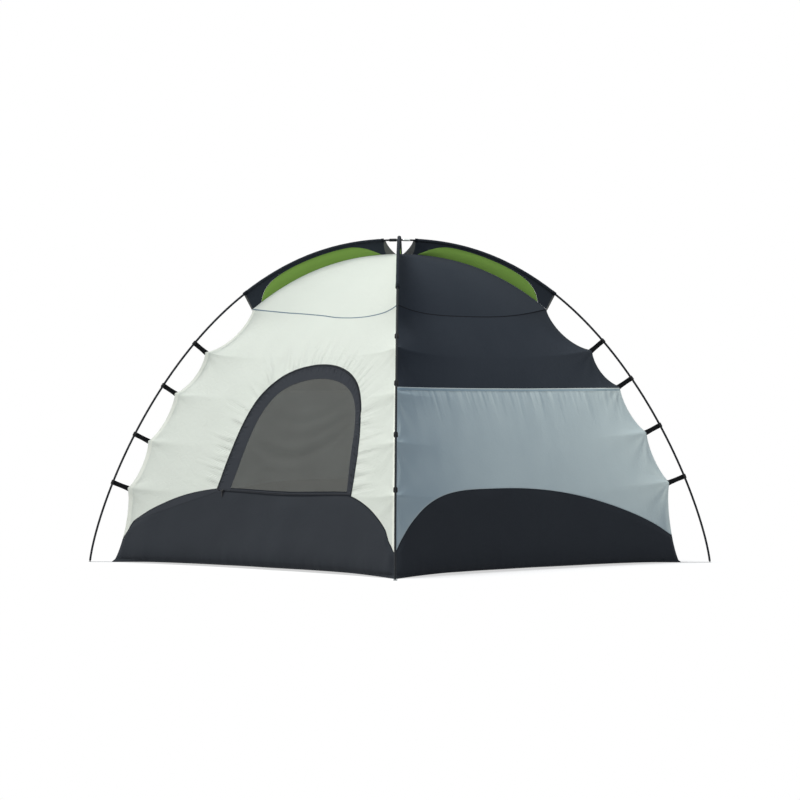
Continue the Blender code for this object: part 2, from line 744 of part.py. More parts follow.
def angle_at_reach(reach):
    """The angle near the crown at a distance from the tent's axis, past the crown if it is negative."""
    low, high = radians(60), radians(120)
    for _ in range(40):
        middle = (low + high) / 2
        if superellipse(middle)[0] > reach:
            low = middle
        else:
            high = middle
    return low


def pole_foot(leg):
    """Rings of a pole's tip, from the pin that stands in the corner tab's eyelet."""
    levels = ((TIP_END, TIP_RADIUS), (TIP_SHOULDER, TIP_RADIUS), (TIP_SHOULDER + 0.0003, POLE_RADIUS))
    return [pole_ring(leg, 0.0, radius, height=height) for height, radius in levels]


def long_half(leg, far_leg, name):
    """The half of a pole that passes the crown, with a collar, and ends inside the other half's ferrule."""
    end = angle_at_reach(-(FERRULE[0] + FERRULE[1]) / 2 + 0.0004)
    collar = [angle_at_reach(reach) for reach in COLLAR[::-1]]
    shift = 1e-4
    stops = [(a, POLE_RADIUS) for a in pole_stations(leg)[1:]]
    stops += [(collar[0] - shift, POLE_RADIUS), (collar[0], COLLAR_RADIUS)]
    stops += [(collar[1], COLLAR_RADIUS), (collar[1] + shift, POLE_RADIUS)]
    stops += [(pi / 2 + 0.004, POLE_RADIUS), (end, POLE_RADIUS)]
    bore = [(a, POLE_BORE) for a, _ in stops[::-1]]
    rings = pole_foot(leg) + [pole_ring(leg, a, radius) for a, radius in stops + bore]
    rings.append(pole_ring(leg, angle_at_height(TIP_PLUG), POLE_BORE))
    return finish(sweep(rings), f"{name}_{leg}", pole_fibreglass(), smooth=True)


def short_half(leg, name):
    """The half of a pole that ends in the ferrule, a steel socket for the other half."""
    near, far = (angle_at_reach(reach) for reach in FERRULE)
    seat = angle_at_reach((FERRULE[0] + FERRULE[1]) / 2 + 0.0004)
    shift = 1e-4
    stops = [(a, POLE_RADIUS) for a in pole_stations(leg)[1:]]
    stops += [(far - shift, POLE_RADIUS), (far, FERRULE_RADIUS), (near, FERRULE_RADIUS)]
    stops += [(near, FERRULE_BORE), (seat, FERRULE_BORE), (seat - shift, POLE_BORE)]
    stops += [(a, POLE_BORE) for a in pole_stations(leg)[:0:-1]]
    rings = pole_foot(leg) + [pole_ring(leg, a, radius) for a, radius in stops]
    rings.append(pole_ring(leg, angle_at_height(TIP_PLUG), POLE_BORE))
    return finish(sweep(rings), f"{name}_{leg}", pole_fibreglass(), smooth=True)


def shock_cord(leg, far_leg, name):
    """The elastic cord through both halves of a pole, knotted above each tip."""
    knot = angle_at_height(TIP_PLUG + 0.001)
    far = [pi - a for a in pole_stations(far_leg)[:0:-1]]
    angles = [knot, *pole_stations(leg)[1:], pi / 2, *far, pi - knot]
    rings = [pole_ring(leg, a, SHOCK_CORD_RADIUS, 5) for a in angles]
    return finish(sweep(rings), name, elastic_cord(), smooth=True)


def hook_profile(reach):
    """Section of a clip: an open hook round the pole, and the strap from it to the corner seam."""
    inner = POLE_RADIUS + HOOK_GAP
    outer = inner + HOOK_WALL
    half = STRAP_THICKNESS / 2
    mouth = range(120, 421, 30)
    line = [(inner * cos(radians(t)), inner * sin(radians(t))) for t in mouth]
    line += [(outer * cos(radians(t)), outer * sin(radians(t))) for t in (420, 390)]
    root = sqrt(outer**2 - half**2)
    line += [(root, half), (reach, half), (reach, -half), (root, -half)]
    line += [(outer * cos(radians(t)), outer * sin(radians(t))) for t in range(330, 119, -30)]
    return line


def clip(leg, number):
    """A webbing strap from the corner seam with a moulded hook on the pole."""
    angle = angle_at_height(CLIP_HEIGHTS[leg][number])
    r, z = pole_point(leg, angle)
    nr, nz = inward(lambda a: pole_point(leg, a), angle)
    seam_r, seam_z = seam_point(leg, angle)
    reach = (seam_r - r) * nr + (seam_z - z) * nz - 0.0006
    rings = []
    for shift in (-CLIP_WIDTH / 2, CLIP_WIDTH / 2):
        ring = [
            leg_point(leg, r + nr * a + nz * shift, z + nz * a - nr * shift, b) for a, b in hook_profile(reach)
        ]
        rings.append(ring)
    finish(sweep(rings), f"clip_{leg}_{number + 1}", webbing())


def corner_tab(leg):
    """The webbing tab that ties the tub's corner to the pole's foot, with an eyelet for the tip."""
    half, hole = TAB_WIDTH / 2, TIP_RADIUS + 0.0012
    start, pin = POLE_FOOT - TAB_REACH[leg] + 0.0008, POLE_FOOT
    outline = [(start, -half), (start, half)]
    outline += [(pin + half * sin(t), half * cos(t)) for t in (pi * i / 8 for i in range(9))]
    bm = bmesh.new()
    underside = bm.faces.new([bm.verts.new(leg_point(leg, r, TAB_LEVEL, side)) for r, side in outline])
    swept = bmesh.ops.extrude_face_region(bm, geom=[underside])["geom"]
    raised = [v for v in swept if isinstance(v, bmesh.types.BMVert)]
    bmesh.ops.translate(bm, verts=raised, vec=(0, 0, TAB_THICKNESS))
    tab = finish(bm, f"corner_tab_{leg}", webbing())
    bm = bmesh.new()
    bmesh.ops.create_cone(bm, cap_ends=True, segments=12, radius1=hole, radius2=hole, depth=0.02)
    bmesh.ops.translate(bm, verts=bm.verts, vec=leg_point(leg, pin, TAB_LEVEL))
    boolean(tab, "DIFFERENCE", as_cutter(finish(bm, f"eyelet_{leg}", webbing())))


def fin_angles(share):
    """Angles of a fin's two long edges, at the pole and at the seam, from its low end to the crown."""
    pole = angle_at_height(FIN_FOOT_HEIGHT), FIN_CROWN_ANGLES[0]
    seam = angle_at_height(FIN_SEAM_HEIGHT), FIN_CROWN_ANGLES[1]
    return tuple(a + (b - a) * share for a, b in (pole, seam))


def fin_point(leg, share, drop):
    """A point of a fin in its plane: drop is 0 on the pole's centre line and 1 at the seam."""
    at_pole, at_seam = fin_angles(share)
    (r0, z0), (r1, z1) = pole_point(leg, at_pole), seam_point(leg, at_seam)
    end = max((share - 0.85) / 0.15, 0.0)
    r = r0 + (r1 - r0) * drop + FIN_CURVE_IN * 4 * drop * (1 - drop) * end
    return r, z0 + (z1 - z0) * drop


def gusset_drop(leg, share):
    """How far down the fin its green gusset starts, 1 where there is none."""
    start, end = GUSSET_SPAN
    if not start < share < end:
        return 1.0
    at_pole, at_seam = fin_angles(share)
    (r0, z0), (r1, z1) = pole_point(leg, at_pole), seam_point(leg, at_seam)
    nearest = GUSSET_NEAREST / hypot(r1 - r0, z1 - z0)
    low_end = exp((start - share) / GUSSET_FALLS[0])
    crown_end = max(1 - (end - share) / GUSSET_FALLS[1], 0.0) ** 2.4
    return nearest + (1 - nearest) * max(low_end, crown_end)


def flat_strip(leg, shares, top, bottom, thick):
    """A strip in a leg's plane between two edges, as a plate centred on the plane."""
    bm = bmesh.new()
    rows = []
    for share in shares:
        low, high = bottom(share), top(share)
        levels = (high, (low + high) / 2, low)
        rows.append([bm.verts.new(leg_point(leg, *fin_point(leg, share, d), -thick / 2)) for d in levels])
    for first, second in zip(rows, rows[1:]):
        for i in range(2):
            bm.faces.new((first[i], first[i + 1], second[i + 1], second[i]))
    plate = bmesh.ops.extrude_face_region(bm, geom=bm.faces[:])["geom"]
    shift = leg_point(leg, 0, 0, thick)
    bmesh.ops.translate(bm, verts=[v for v in plate if isinstance(v, bmesh.types.BMVert)], vec=shift)
    return bm


def fin(leg):
    """The fin: a plate of fabric from the seam up to a sleeve round the pole, and its green gusset."""
    start, end = GUSSET_SPAN
    near_start = [start + step for step in (0.0, GUSSET_END, 0.020, 0.040, 0.065, 0.095, 0.135, 0.190)]
    near_end = [end - step for step in (0.160, 0.125, 0.095, 0.070, 0.045, 0.022, GUSSET_END, 0.0)]
    shares = [0.0, start / 2, *near_start, 0.34, 0.43, 0.52, 0.61, 0.69, *near_end, (end + 1) / 2, 1.0]
    gap = 0.0006 / FIN_FOOT_REACH

    def seam_edge(share):
        return gusset_drop(leg, share) - gap

    web = flat_strip(leg, shares, lambda share: 0.0, seam_edge, FABRIC)
    made = finish(web, f"fin_{leg}", dark_fabric())
    sleeve = sweep([pole_ring(leg, a, SLEEVE_RADIUS, 10) for a in sleeve_stations()])
    boolean(made, "UNION", as_cutter(finish(sleeve, f"sleeve_{leg}", dark_fabric())))
    stations = sleeve_stations()
    reach = [stations[0] - 0.02, *stations, (stations[-1] + pi / 2) / 2, pi / 2]
    tunnel = sweep([pole_ring(leg, a, SLEEVE_BORE, 10) for a in reach])
    boolean(made, "DIFFERENCE", as_cutter(finish(tunnel, f"tunnel_{leg}", dark_fabric())))
    inside = [share for share in shares if start < share < end]

    def gusset_top(share):
        return min(gusset_drop(leg, share) + gap, 1 - 2 * gap)

    gusset = flat_strip(leg, inside, gusset_top, lambda share: 1 - gap, FABRIC)
    finish(gusset, f"fin_gusset_{leg}", green_fabric())


def build():
    for made in list(bpy.data.objects):
        bpy.data.objects.remove(made)
    groundsheet()
    for face in FACES:
        tub_and_walls(face)
    for face in DOOR_FACES:
        door(face)
        door_zip(face)
        zip_slider(face)
        zip_pull(face)
    for leg in LEGS:
        for number in range(len(CLIP_REACH)):
            clip(leg, number)
        corner_tab(leg)
        fin(leg)
    for name, near, far in (
        ("lower", "front_left", "rear_right"),
        ("upper", "front_right", "rear_left"),
    ):
        long_half(near, far, f"pole_{name}")
        short_half(far, f"pole_{name}")
        shock_cord(near, far, f"shock_cord_{name}")


build()
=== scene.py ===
"""Looks of the dome tent's inner: fabric, netting, webbing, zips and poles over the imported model.

Metres, +Z up. The front door faces -Y."""

from math import asin, atan2, cos, dist, exp, hypot, pi, radians, sin, sqrt

import bmesh
import bpy
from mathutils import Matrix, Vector, noise


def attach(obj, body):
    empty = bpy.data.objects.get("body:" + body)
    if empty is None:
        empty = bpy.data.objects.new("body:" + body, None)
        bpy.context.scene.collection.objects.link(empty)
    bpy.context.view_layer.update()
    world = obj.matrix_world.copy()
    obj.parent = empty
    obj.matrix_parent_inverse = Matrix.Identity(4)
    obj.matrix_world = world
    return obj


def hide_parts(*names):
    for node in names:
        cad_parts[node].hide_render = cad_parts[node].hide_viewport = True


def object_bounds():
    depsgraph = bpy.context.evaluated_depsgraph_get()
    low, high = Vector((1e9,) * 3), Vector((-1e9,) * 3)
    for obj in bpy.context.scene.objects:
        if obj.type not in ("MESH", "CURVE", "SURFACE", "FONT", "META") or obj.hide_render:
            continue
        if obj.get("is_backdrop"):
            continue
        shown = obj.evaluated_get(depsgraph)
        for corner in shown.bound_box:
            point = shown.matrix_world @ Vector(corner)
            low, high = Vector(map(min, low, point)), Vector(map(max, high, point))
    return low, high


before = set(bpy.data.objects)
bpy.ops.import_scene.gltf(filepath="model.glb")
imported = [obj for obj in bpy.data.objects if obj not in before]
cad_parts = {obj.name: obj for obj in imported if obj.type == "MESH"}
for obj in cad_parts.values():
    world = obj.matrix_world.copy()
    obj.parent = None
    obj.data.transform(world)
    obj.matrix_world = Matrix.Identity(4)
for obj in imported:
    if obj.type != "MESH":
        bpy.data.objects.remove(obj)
cad_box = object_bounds()

# The view: the camera stands level, just off the tent's front corner, far away with a long lens.
# The tent's axis stands half a pixel left of the picture's middle.
VIEW_AZIMUTH = radians(45.73)
VIEW_DISTANCE = 18.0
VIEW_HEIGHT = 0.969
VIEW_FOCAL_PIXELS = 3012.0
PICTURE_PIXELS = 800.0
AXIS_LEFT_PIXELS = 0.5


def added(name, data):
    made = bpy.data.objects.new(name, data)
    bpy.context.collection.objects.link(made)
    return made


lens = bpy.data.cameras.new("long_lens")
lens.sensor_width = 36.0
lens.lens = VIEW_FOCAL_PIXELS / PICTURE_PIXELS * lens.sensor_width
lens.clip_end = 200.0
camera = added("camera", lens)
camera.location = (sin(VIEW_AZIMUTH) * VIEW_DISTANCE, -cos(VIEW_AZIMUTH) * VIEW_DISTANCE, VIEW_HEIGHT)
camera.rotation_euler = (pi / 2, 0.0, VIEW_AZIMUTH - AXIS_LEFT_PIXELS / VIEW_FOCAL_PIXELS)
bpy.context.scene.camera = camera
bpy.context.scene.view_settings.view_transform = "Standard"

# The studio: plain soft studio light. Two low lamps face the white front wall, a high one lights the roof,
# a dim one opens the dark side, and a pale sky fills. The floor takes the tent's shadow and turns white
# a little way out.
SKY_LIGHT = 0.46
FLOOR_RADIUS = 60.0
FLOOR_LEVEL = -0.0005
SHADED_TO = 1.17
WHITE_FROM = 1.55
WHITE_UNDER_TENT = 0.62


def srgb(code):
    """A hex colour as linear red, green, blue and alpha."""
    parts = [int(code[i : i + 2], 16) / 255 for i in (1, 3, 5)]
    return (*(((c + 0.055) / 1.055) ** 2.4 if c > 0.04045 else c / 12.92 for c in parts), 1.0)


def add_node(tree, kind, sockets=None, **settings):
    """Adds a shader node. Its sockets go by name or number, and take a value or the output that feeds it."""
    made = tree.nodes.new("ShaderNode" + kind)
    for name, value in settings.items():
        setattr(made, name, value)
    for name, value in (sockets or {}).items():
        if isinstance(value, bpy.types.NodeSocket):
            tree.links.new(value, made.inputs[name])
        else:
            made.inputs[name].default_value = value
    return made


def seen_directly(tree):
    """1 for what the camera sees straight, in a mirror or through glass."""
    path = add_node(tree, "LightPath")
    either = {0: path.outputs["Is Camera Ray"], 1: path.outputs["Is Glossy Ray"]}
    glossy = add_node(tree, "Math", either, operation="MAXIMUM")
    either = {0: glossy.outputs[0], 1: path.outputs["Is Transmission Ray"]}
    return add_node(tree, "Math", either, operation="MAXIMUM").outputs[0]


world = bpy.data.worlds.new("studio")
world.use_nodes = True
sky = world.node_tree
sky.nodes.clear()
fill = add_node(sky, "Background", {"Color": srgb("#e4edf8"), "Strength": SKY_LIGHT})
backdrop = add_node(sky, "Background", {"Color": srgb("#ffffff"), "Strength": 1.0})
either = add_node(sky, "MixShader", {0: seen_directly(sky), 1: fill.outputs[0], 2: backdrop.outputs[0]})
add_node(sky, "OutputWorld", {"Surface": either.outputs[0]})
bpy.context.scene.world = world


def lamp(name, azimuth, elevation, strength, softness, colour="#ffffff"):
    """A distant lamp. Its azimuth is counted from -Y towards +X."""
    light = bpy.data.lights.new(name, "SUN")
    light.energy = strength
    light.angle = radians(softness)
    light.color = srgb(colour)[:3]
    turn, rise = radians(azimuth), radians(elevation)
    towards = Vector((sin(turn) * cos(rise), -cos(turn) * cos(rise), sin(rise)))
    made = added(name, light)
    made.rotation_euler = towards.to_track_quat("Z", "Y").to_euler()
    return made


lamp("low_front_lamp", 8.0, 12.0, 0.4, 6.0, "#fffaf0")
lamp("low_left_lamp", -50.0, 25.0, 1.0, 12.0, "#fffaf0")
lamp("high_lamp", -30.0, 68.0, 2.5, 30.0)
lamp("dim_right_lamp", 80.0, 25.0, 0.12, 40.0, "#f2f6ff")


def mesh_of(bm, name):
    mesh = bpy.data.meshes.new(name)
    bm.to_mesh(mesh)
    bm.free()
    return mesh


def floor_paper():
    """Pale studio paper: it shows the tent's shadow close by and fades to plain white."""
    made = bpy.data.materials.new("pale_studio_floor")
    made.use_nodes = True
    tree = made.node_tree
    tree.nodes.clear()
    place = add_node(tree, "TexCoord")
    spot = add_node(tree, "SeparateXYZ", {0: place.outputs["Object"]})
    far = [add_node(tree, "Math", {0: spot.outputs[way]}, operation="ABSOLUTE") for way in "XY"]
    far = add_node(tree, "Math", {0: far[0].outputs[0], 1: far[1].outputs[0]}, operation="MAXIMUM")
    white = {"From Min": SHADED_TO, "From Max": WHITE_FROM, "To Min": WHITE_UNDER_TENT, "To Max": 1.0}
    fade = add_node(tree, "MapRange", {"Value": far.outputs[0], **white}, interpolation_type="SMOOTHSTEP")
    straight = seen_directly(tree)
    seen = add_node(tree, "Math", {0: fade.outputs[0], 1: straight}, operation="MULTIPLY")
    tones = {"Factor": straight, 6: srgb("#b4b4b4"), 7: srgb("#f6f6f6")}
    shade = add_node(tree, "Mix", tones, data_type="RGBA")
    lit = add_node(tree, "BsdfDiffuse", {"Color": shade.outputs[2]})
    white = add_node(tree, "Emission", {"Color": srgb("#ffffff"), "Strength": 1.0})
    both = add_node(tree, "MixShader", {0: seen.outputs[0], 1: lit.outputs[0], 2: white.outputs[0]})
    add_node(tree, "OutputMaterial", {"Surface": both.outputs[0]})
    return made


bm = bmesh.new()
bmesh.ops.create_circle(bm, cap_ends=True, segments=96, radius=FLOOR_RADIUS)
studio_floor = added("studio_floor", mesh_of(bm, "studio_floor"))
studio_floor.data.materials.append(floor_paper())
studio_floor.location.z = FLOOR_LEVEL
studio_floor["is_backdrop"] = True

# Poles: two arches of wrapped fibreglass tube, each in two halves that an elastic cord draws together.
# They cross at the crown, where one half of each has a bright steel ferrule and the other a black collar.
POLE_FOOT = 1.852
POLE_CROWN = 1.925
POLE_WIDTH_POWER = 2.214
POLE_HEIGHT_POWER = 1.329
POLE_RADIUS = 0.0065
POLE_CROWN_SHARE = 0.86
POLE_CROWN_FROM = radians(80)
POLE_STEPS = 110
TIP_LEVELS = (0.0008, 0.0088, 0.0092)
TIP_SHARES = [0.55, 0.55, 1.0]
UPPER_POLE_LIFT = 0.0118
FERRULE = (0.021, 0.063)
COLLAR = (0.015, 0.062)
LEGS = ("front_left", "front_right", "rear_right", "rear_left")
LEG_SIGNS = {"front_left": (-1, -1), "front_right": (1, -1), "rear_right": (1, 1), "rear_left": (-1, 1)}


def arch(angle):
    """The pole's arch in its own plane: reach from the tent's axis, negative past the crown, and height."""
    reach = abs(cos(angle)) ** (2 / POLE_WIDTH_POWER)
    height = max(sin(angle), 0.0) ** (2 / POLE_HEIGHT_POWER)
    return POLE_FOOT * (reach if cos(angle) > 0 else -reach), POLE_CROWN * height


def pole_point(leg, angle):
    r, z = arch(angle)
    if leg in ("front_right", "rear_left"):
        z += UPPER_POLE_LIFT * (z / POLE_CROWN) ** 4
    return r, z


def inward(curve, angle):
    """Unit normal of an arch, towards the tent."""
    step = 1e-4
    (r0, z0), (r1, z1) = curve(max(angle - step, 0.0)), curve(angle + step)
    length = hypot(r1 - r0, z1 - z0)
    return (z0 - z1) / length, (r1 - r0) / length


def angle_at_height(height):
    return asin((height / POLE_CROWN) ** (POLE_HEIGHT_POWER / 2))


def halved(low, high, steps, is_low):
    """The place between two bounds up to which is_low(place) holds."""
    for _ in range(steps):
        middle = (low + high) / 2
        low, high = (middle, high) if is_low(middle) else (low, middle)
    return low


def angle_at_reach(reach):
    return halved(radians(60), radians(120), 40, lambda angle: arch(angle)[0] > reach)


def leg_point(leg, r, z, side=0.0):
    sx, sy = LEG_SIGNS[leg]
    return Vector(((sx * r - sy * side) / sqrt(2), (sy * r + sx * side) / sqrt(2), z))


def finished(name, mesh, finish, node=None, body="tent", sharp=45.0):
    """Adds a piece with its material and body, and hides the node it stands for. The finish's slot is not
    used.
    """
    material, slot = finish
    mesh.name = name
    mesh.materials.clear()
    mesh.materials.append(material)
    mesh.shade_smooth()
    mesh.set_sharp_from_angle(angle=radians(sharp))
    made = added(name, mesh)
    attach(made, body)
    if node:
        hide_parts(node)
    return made


def tube_mesh(points, radius, radii):
    """A round tube along points, closed at both ends. radii are shares of its radius."""
    curve = bpy.data.curves.new("tube", "CURVE")
    curve.dimensions = "3D"
    curve.bevel_depth = radius
    curve.bevel_resolution = 4
    curve.use_fill_caps = True
    spline = curve.splines.new("POLY")
    spline.points.add(len(points) - 1)
    for knot, point, share in zip(spline.points, points, radii):
        knot.co = (*point, 1.0)
        knot.radius = share
    holder = added("tube", curve)
    shown = holder.evaluated_get(bpy.context.evaluated_depsgraph_get())
    bm = bmesh.new()
    bm.from_mesh(shown.to_mesh())
    shown.to_mesh_clear()
    bpy.data.objects.remove(holder)
    bpy.data.curves.remove(curve)
    bmesh.ops.remove_doubles(bm, verts=bm.verts, dist=1e-6)
    bmesh.ops.recalc_face_normals(bm, faces=bm.faces)
    return mesh_of(bm, "tube")


def plain_surface(name, roughness, specular=0.5, metallic=0.0):
    """A material with its plain values, its tree, its shader, and the places that patterns are drawn by."""
    made = bpy.data.materials.new(name)
    made.use_nodes = True
    tree = made.node_tree
    shader = tree.nodes["Principled BSDF"]
    for socket, value in (("Roughness", roughness), ("Specular IOR Level", specular), ("Metallic", metallic)):
        shader.inputs[socket].default_value = value
    return made, tree, shader, add_node(tree, "TexCoord").outputs


def two_toned(tree, shader, share, low, high):
    """Colours a surface from one tone to another, as a pattern goes from 0 to 1."""
    tones = {"Factor": share, 6: srgb(low), 7: srgb(high)}
    tint = add_node(tree, "Mix", tones, data_type="RGBA").outputs[2]
    tree.links.new(tint, shader.inputs["Base Color"])
    return tint


def patterned_surface(name, tones, kind, places, pattern, relief, *plain, output="Fac", **settings):
    """A surface whose colour goes from one tone to another with one fine pattern, and whose relief rises with
    it. relief is the bump's strength and height."""
    made, tree, shader, place = plain_surface(name, *plain)
    drawn = add_node(tree, kind, {"Vector": place[places], **pattern}, **settings).outputs[output]
    two_toned(tree, shader, drawn, *tones)
    if relief:
        bump = add_node(tree, "Bump", {"Height": drawn, "Strength": relief[0], "Distance": relief[1]})
        tree.links.new(bump.outputs[0], shader.inputs["Normal"])
    return made


# Black pultruded fibreglass under a thin film: dark, half gloss, with a faint grain, drawn 4 mm wide so that
# it shows.
fibreglass = patterned_surface(
    "wrapped_fibreglass", ("#15181c", "#1f2328"), "TexNoise", "Object", {"Scale": 260.0, "Detail": 3.0},
    (0.15, 0.0002), 0.55, 0.18,
), "black_fibreglass"
# A bright plated ferrule: pale metal with a fine grain, drawn 1 mm wide so that it shows.
bright_steel = patterned_surface(
    "zinc_plated_steel", ("#b9bfbe", "#d5d9d7"), "TexNoise", "Object", {"Scale": 900.0, "Detail": 2.0},
    (0.2, 0.0001), 0.32, 0.5, 1.0,
), "painted_zinc"


def pole_half(name, leg, last, node):
    """One half of a pole, from its thinner tip to a last reach near the crown."""
    end = angle_at_reach(last)
    angles = [end * i / POLE_STEPS for i in range(len(TIP_LEVELS), POLE_STEPS + 1)]
    points = [leg_point(leg, POLE_FOOT, z) for z in TIP_LEVELS]
    points += [leg_point(leg, *pole_point(leg, a)) for a in angles]
    radii = TIP_SHARES + [POLE_CROWN_SHARE if a > POLE_CROWN_FROM else 1.0 for a in angles]
    finished(name, tube_mesh(points, POLE_RADIUS, radii), fibreglass, node)


def pole_ring(name, leg, near, far, radius, finish):
    """A short tube over the pole between two reaches, with its ends turned in."""
    a0, a1 = angle_at_reach(far), angle_at_reach(near)
    points = [leg_point(leg, *pole_point(leg, a0 + (a1 - a0) * i / 12)) for i in range(13)]
    radii = [0.82, 0.97] + [1.0] * 9 + [0.97, 0.82]
    finished(name, tube_mesh(points, radius, radii), finish)


for level, near_leg, far_leg in (
    ("lower", "front_left", "rear_right"),
    ("upper", "front_right", "rear_left"),
):
    pole_half(f"{level}_pole_{near_leg}", near_leg, -sum(FERRULE) / 2, f"pole_{level}_{near_leg}")
    pole_half(f"{level}_pole_{far_leg}", far_leg, FERRULE[0], f"pole_{level}_{far_leg}")
    pole_ring(f"{level}_pole_ferrule", far_leg, *FERRULE, 0.0070, bright_steel)
    pole_ring(f"{level}_pole_collar", near_leg, *COLLAR, 0.0090, fibreglass)

# Canopy: a dome of sewn panels whose corner seams hang in scallops between the straps.
# Each wall bows in between its corners. A place on it is u, from -1 to 1 across it, and the pole's angle.
TAB_REACH = {"front_left": 0.128, "front_right": 0.150, "rear_right": 0.168, "rear_left": 0.150}
FOOT_ANGLE = 0.08
FIN_FOOT_HEIGHT = 1.604
FIN_SEAM_HEIGHT = 1.590
FIN_FOOT_REACH = 0.102
CROWN_REACH = 0.083
CLIP_HEIGHTS = {
    "front_left": (0.477, 0.765, 1.056, 1.309),
    "front_right": (0.483, 0.780, 1.061, 1.322),
    "rear_right": (0.514, 0.819, 1.099, 1.322),
    "rear_left": (0.490, 0.785, 1.070, 1.318),
}
CLIP_REACH = (0.093, 0.088, 0.082, 0.082)
SCALLOPS = (0.052, 0.032, 0.036, 0.044, 0.058)
SCALLOP_FADE = 0.16
WALL_SLACK = 0.02
WALL_BOW = 0.095
BOW_POWER = 2.6
FLOOR_LIFT = 0.018
SIDE_SEAM_HEIGHT = 1.095
SILL_HEIGHT = 0.438
SILL_SAG = 0.015
SILL_MIDDLE = 0.15
SILL_HALF = 0.60
HINGE_FOOT = (0.712, 0.440)
HINGE_HEAD = (0.648, 0.850)
TAUT_REACH = 0.07
TUB_EDGES = {
    "door": {"left": (0.205, -0.20, 2.5), "right": (0.145, 0.30, 3.3), "top": 0.457},
    "side": {"left": (0.150, -0.22, 3.6), "right": (0.165, -0.22, 2.4), "top": 0.470},
}
LEFT_CORNER_DROP = 0.070
FRONT_CORNER_DROP = 0.028
FACES = {
    "front": ("front_left", "front_right"),
    "right": ("front_right", "rear_right"),
    "rear": ("rear_right", "rear_left"),
    "left": ("rear_left", "front_left"),
}
DOOR_FACES = ("front", "rear")
CREASE_SEEDS = {"front": 3.1, "right": 17.7, "rear": 31.3, "left": 47.9}
BILLOWS = ((0.0070, 0.45, 0.45, 0.37), (0.0022, 0.13, 0.16, 0.61))
ARCH_LENGTH_PER_ANGLE = 1.6
CLOTH_THICKNESS = 0.0006
TABLE_STEPS = 900


def clamped(value, low=0.0, high=1.0):
    return min(max(value, low), high)


def between(start, end, share):
    """The point at a share of the way from one pair of numbers to another."""
    return start[0] + (end[0] - start[0]) * share, start[1] + (end[1] - start[1]) * share


def uneven(x, y, z):
    """Smooth unevenness, between -1 and 1."""
    return noise.noise(Vector((x, y, z)))


def seam_reach(leg, angle):
    """Reach of the corner seam from the pole: as it hangs between the straps that hold it, and evened out."""
    clips = [angle_at_height(height) for height in CLIP_HEIGHTS[leg]]
    angles = [0.0, *clips, angle_at_height(FIN_SEAM_HEIGHT), pi / 2]
    reaches = (TAB_REACH[leg], *CLIP_REACH, FIN_FOOT_REACH, CROWN_REACH)
    i = 0
    while i < len(angles) - 2 and angle > angles[i + 1]:
        i += 1
    if i < len(SCALLOPS):
        z, z0, z1 = (arch(a)[1] for a in (angle, angles[i], angles[i + 1]))
        share = clamped((z - z0) / (z1 - z0))
        hang = SCALLOPS[i] * (4 * share * (1 - share)) ** 0.75
        slack = share if i == 0 else 1
    else:
        share = (angle - angles[i]) / (angles[i + 1] - angles[i])
        hang, slack = 0.0, 1 - share
    even = reaches[i] + (reaches[i + 1] - reaches[i]) * share
    return even + hang, even + WALL_SLACK * slack


def offset_arch(leg, hung, angle):
    share = min(angle / FOOT_ANGLE, 1.0)
    angle = max(angle, FOOT_ANGLE)
    r, z = arch(angle)
    nr, nz = inward(arch, angle)
    reach = seam_reach(leg, angle)[0 if hung else 1]
    r, z = max(r + nr * reach, 0.0), z + nz * reach
    corner = POLE_FOOT - TAB_REACH[leg]
    return corner + (r - corner) * share, z * share


steps = [pi / 2 * i / TABLE_STEPS for i in range(TABLE_STEPS + 1)]
seam_table = {leg: [offset_arch(leg, True, a) for a in steps] for leg in LEGS}
mean_table = [offset_arch("rear_left", False, a) for a in steps]


def looked_up(table, angle):
    place = clamped(angle, 0.0, pi / 2) / (pi / 2) * TABLE_STEPS
    i = min(int(place), TABLE_STEPS - 1)
    return between(table[i], table[i + 1], place - i)


def corner_fade(distance):
    return exp(-((distance / SCALLOP_FADE) ** 1.3))


def wall_leg(face, u):
    return FACES[face][0 if u < 0 else 1]


def wall_point(face, u, angle):
    """A point of a wall in its own axes: along it, out from the tent's axis, and up."""
    mean = looked_up(mean_table, angle)
    fade = corner_fade((1 - min(abs(u), 1)) * max(mean[0], 0.02) / sqrt(2))
    r, z = between(mean, looked_up(seam_table[wall_leg(face, u)], angle), fade)
    (r0, z0), (r1, z1) = looked_up(mean_table, angle - 0.003), looked_up(mean_table, angle + 0.003)
    rise, run = z1 - z0, (r0 - r1) / sqrt(2)
    length = hypot(rise, run)
    bow = WALL_BOW * max(cos(angle), 0.0) ** 0.6 * (1 - min(abs(u), 1) ** BOW_POWER)
    return u * r / sqrt(2), r / sqrt(2) - bow * rise / length, max(z - bow * run / length, 0.0)


def to_tent(face, along, out, up):
    ways = {"front": (along, -out), "right": (out, along), "rear": (-along, out), "left": (-out, -along)}
    return Vector((*ways[face], up))


def wall_normal(face, u, angle):
    step = 2e-3
    u, angle = clamped(u, step - 1, 1 - step), clamped(angle, step, pi / 2 - 0.02)
    across = Vector(wall_point(face, u + step, angle)) - Vector(wall_point(face, u - step, angle))
    upward = Vector(wall_point(face, u, angle + step)) - Vector(wall_point(face, u, angle - step))
    normal = upward.cross(across).normalized()
    return normal if normal.y > 0 else -normal


def angle_on_wall(face, u, height):
    return halved(0.0, pi / 2, 24, lambda angle: wall_point(face, u, angle)[2] < height)


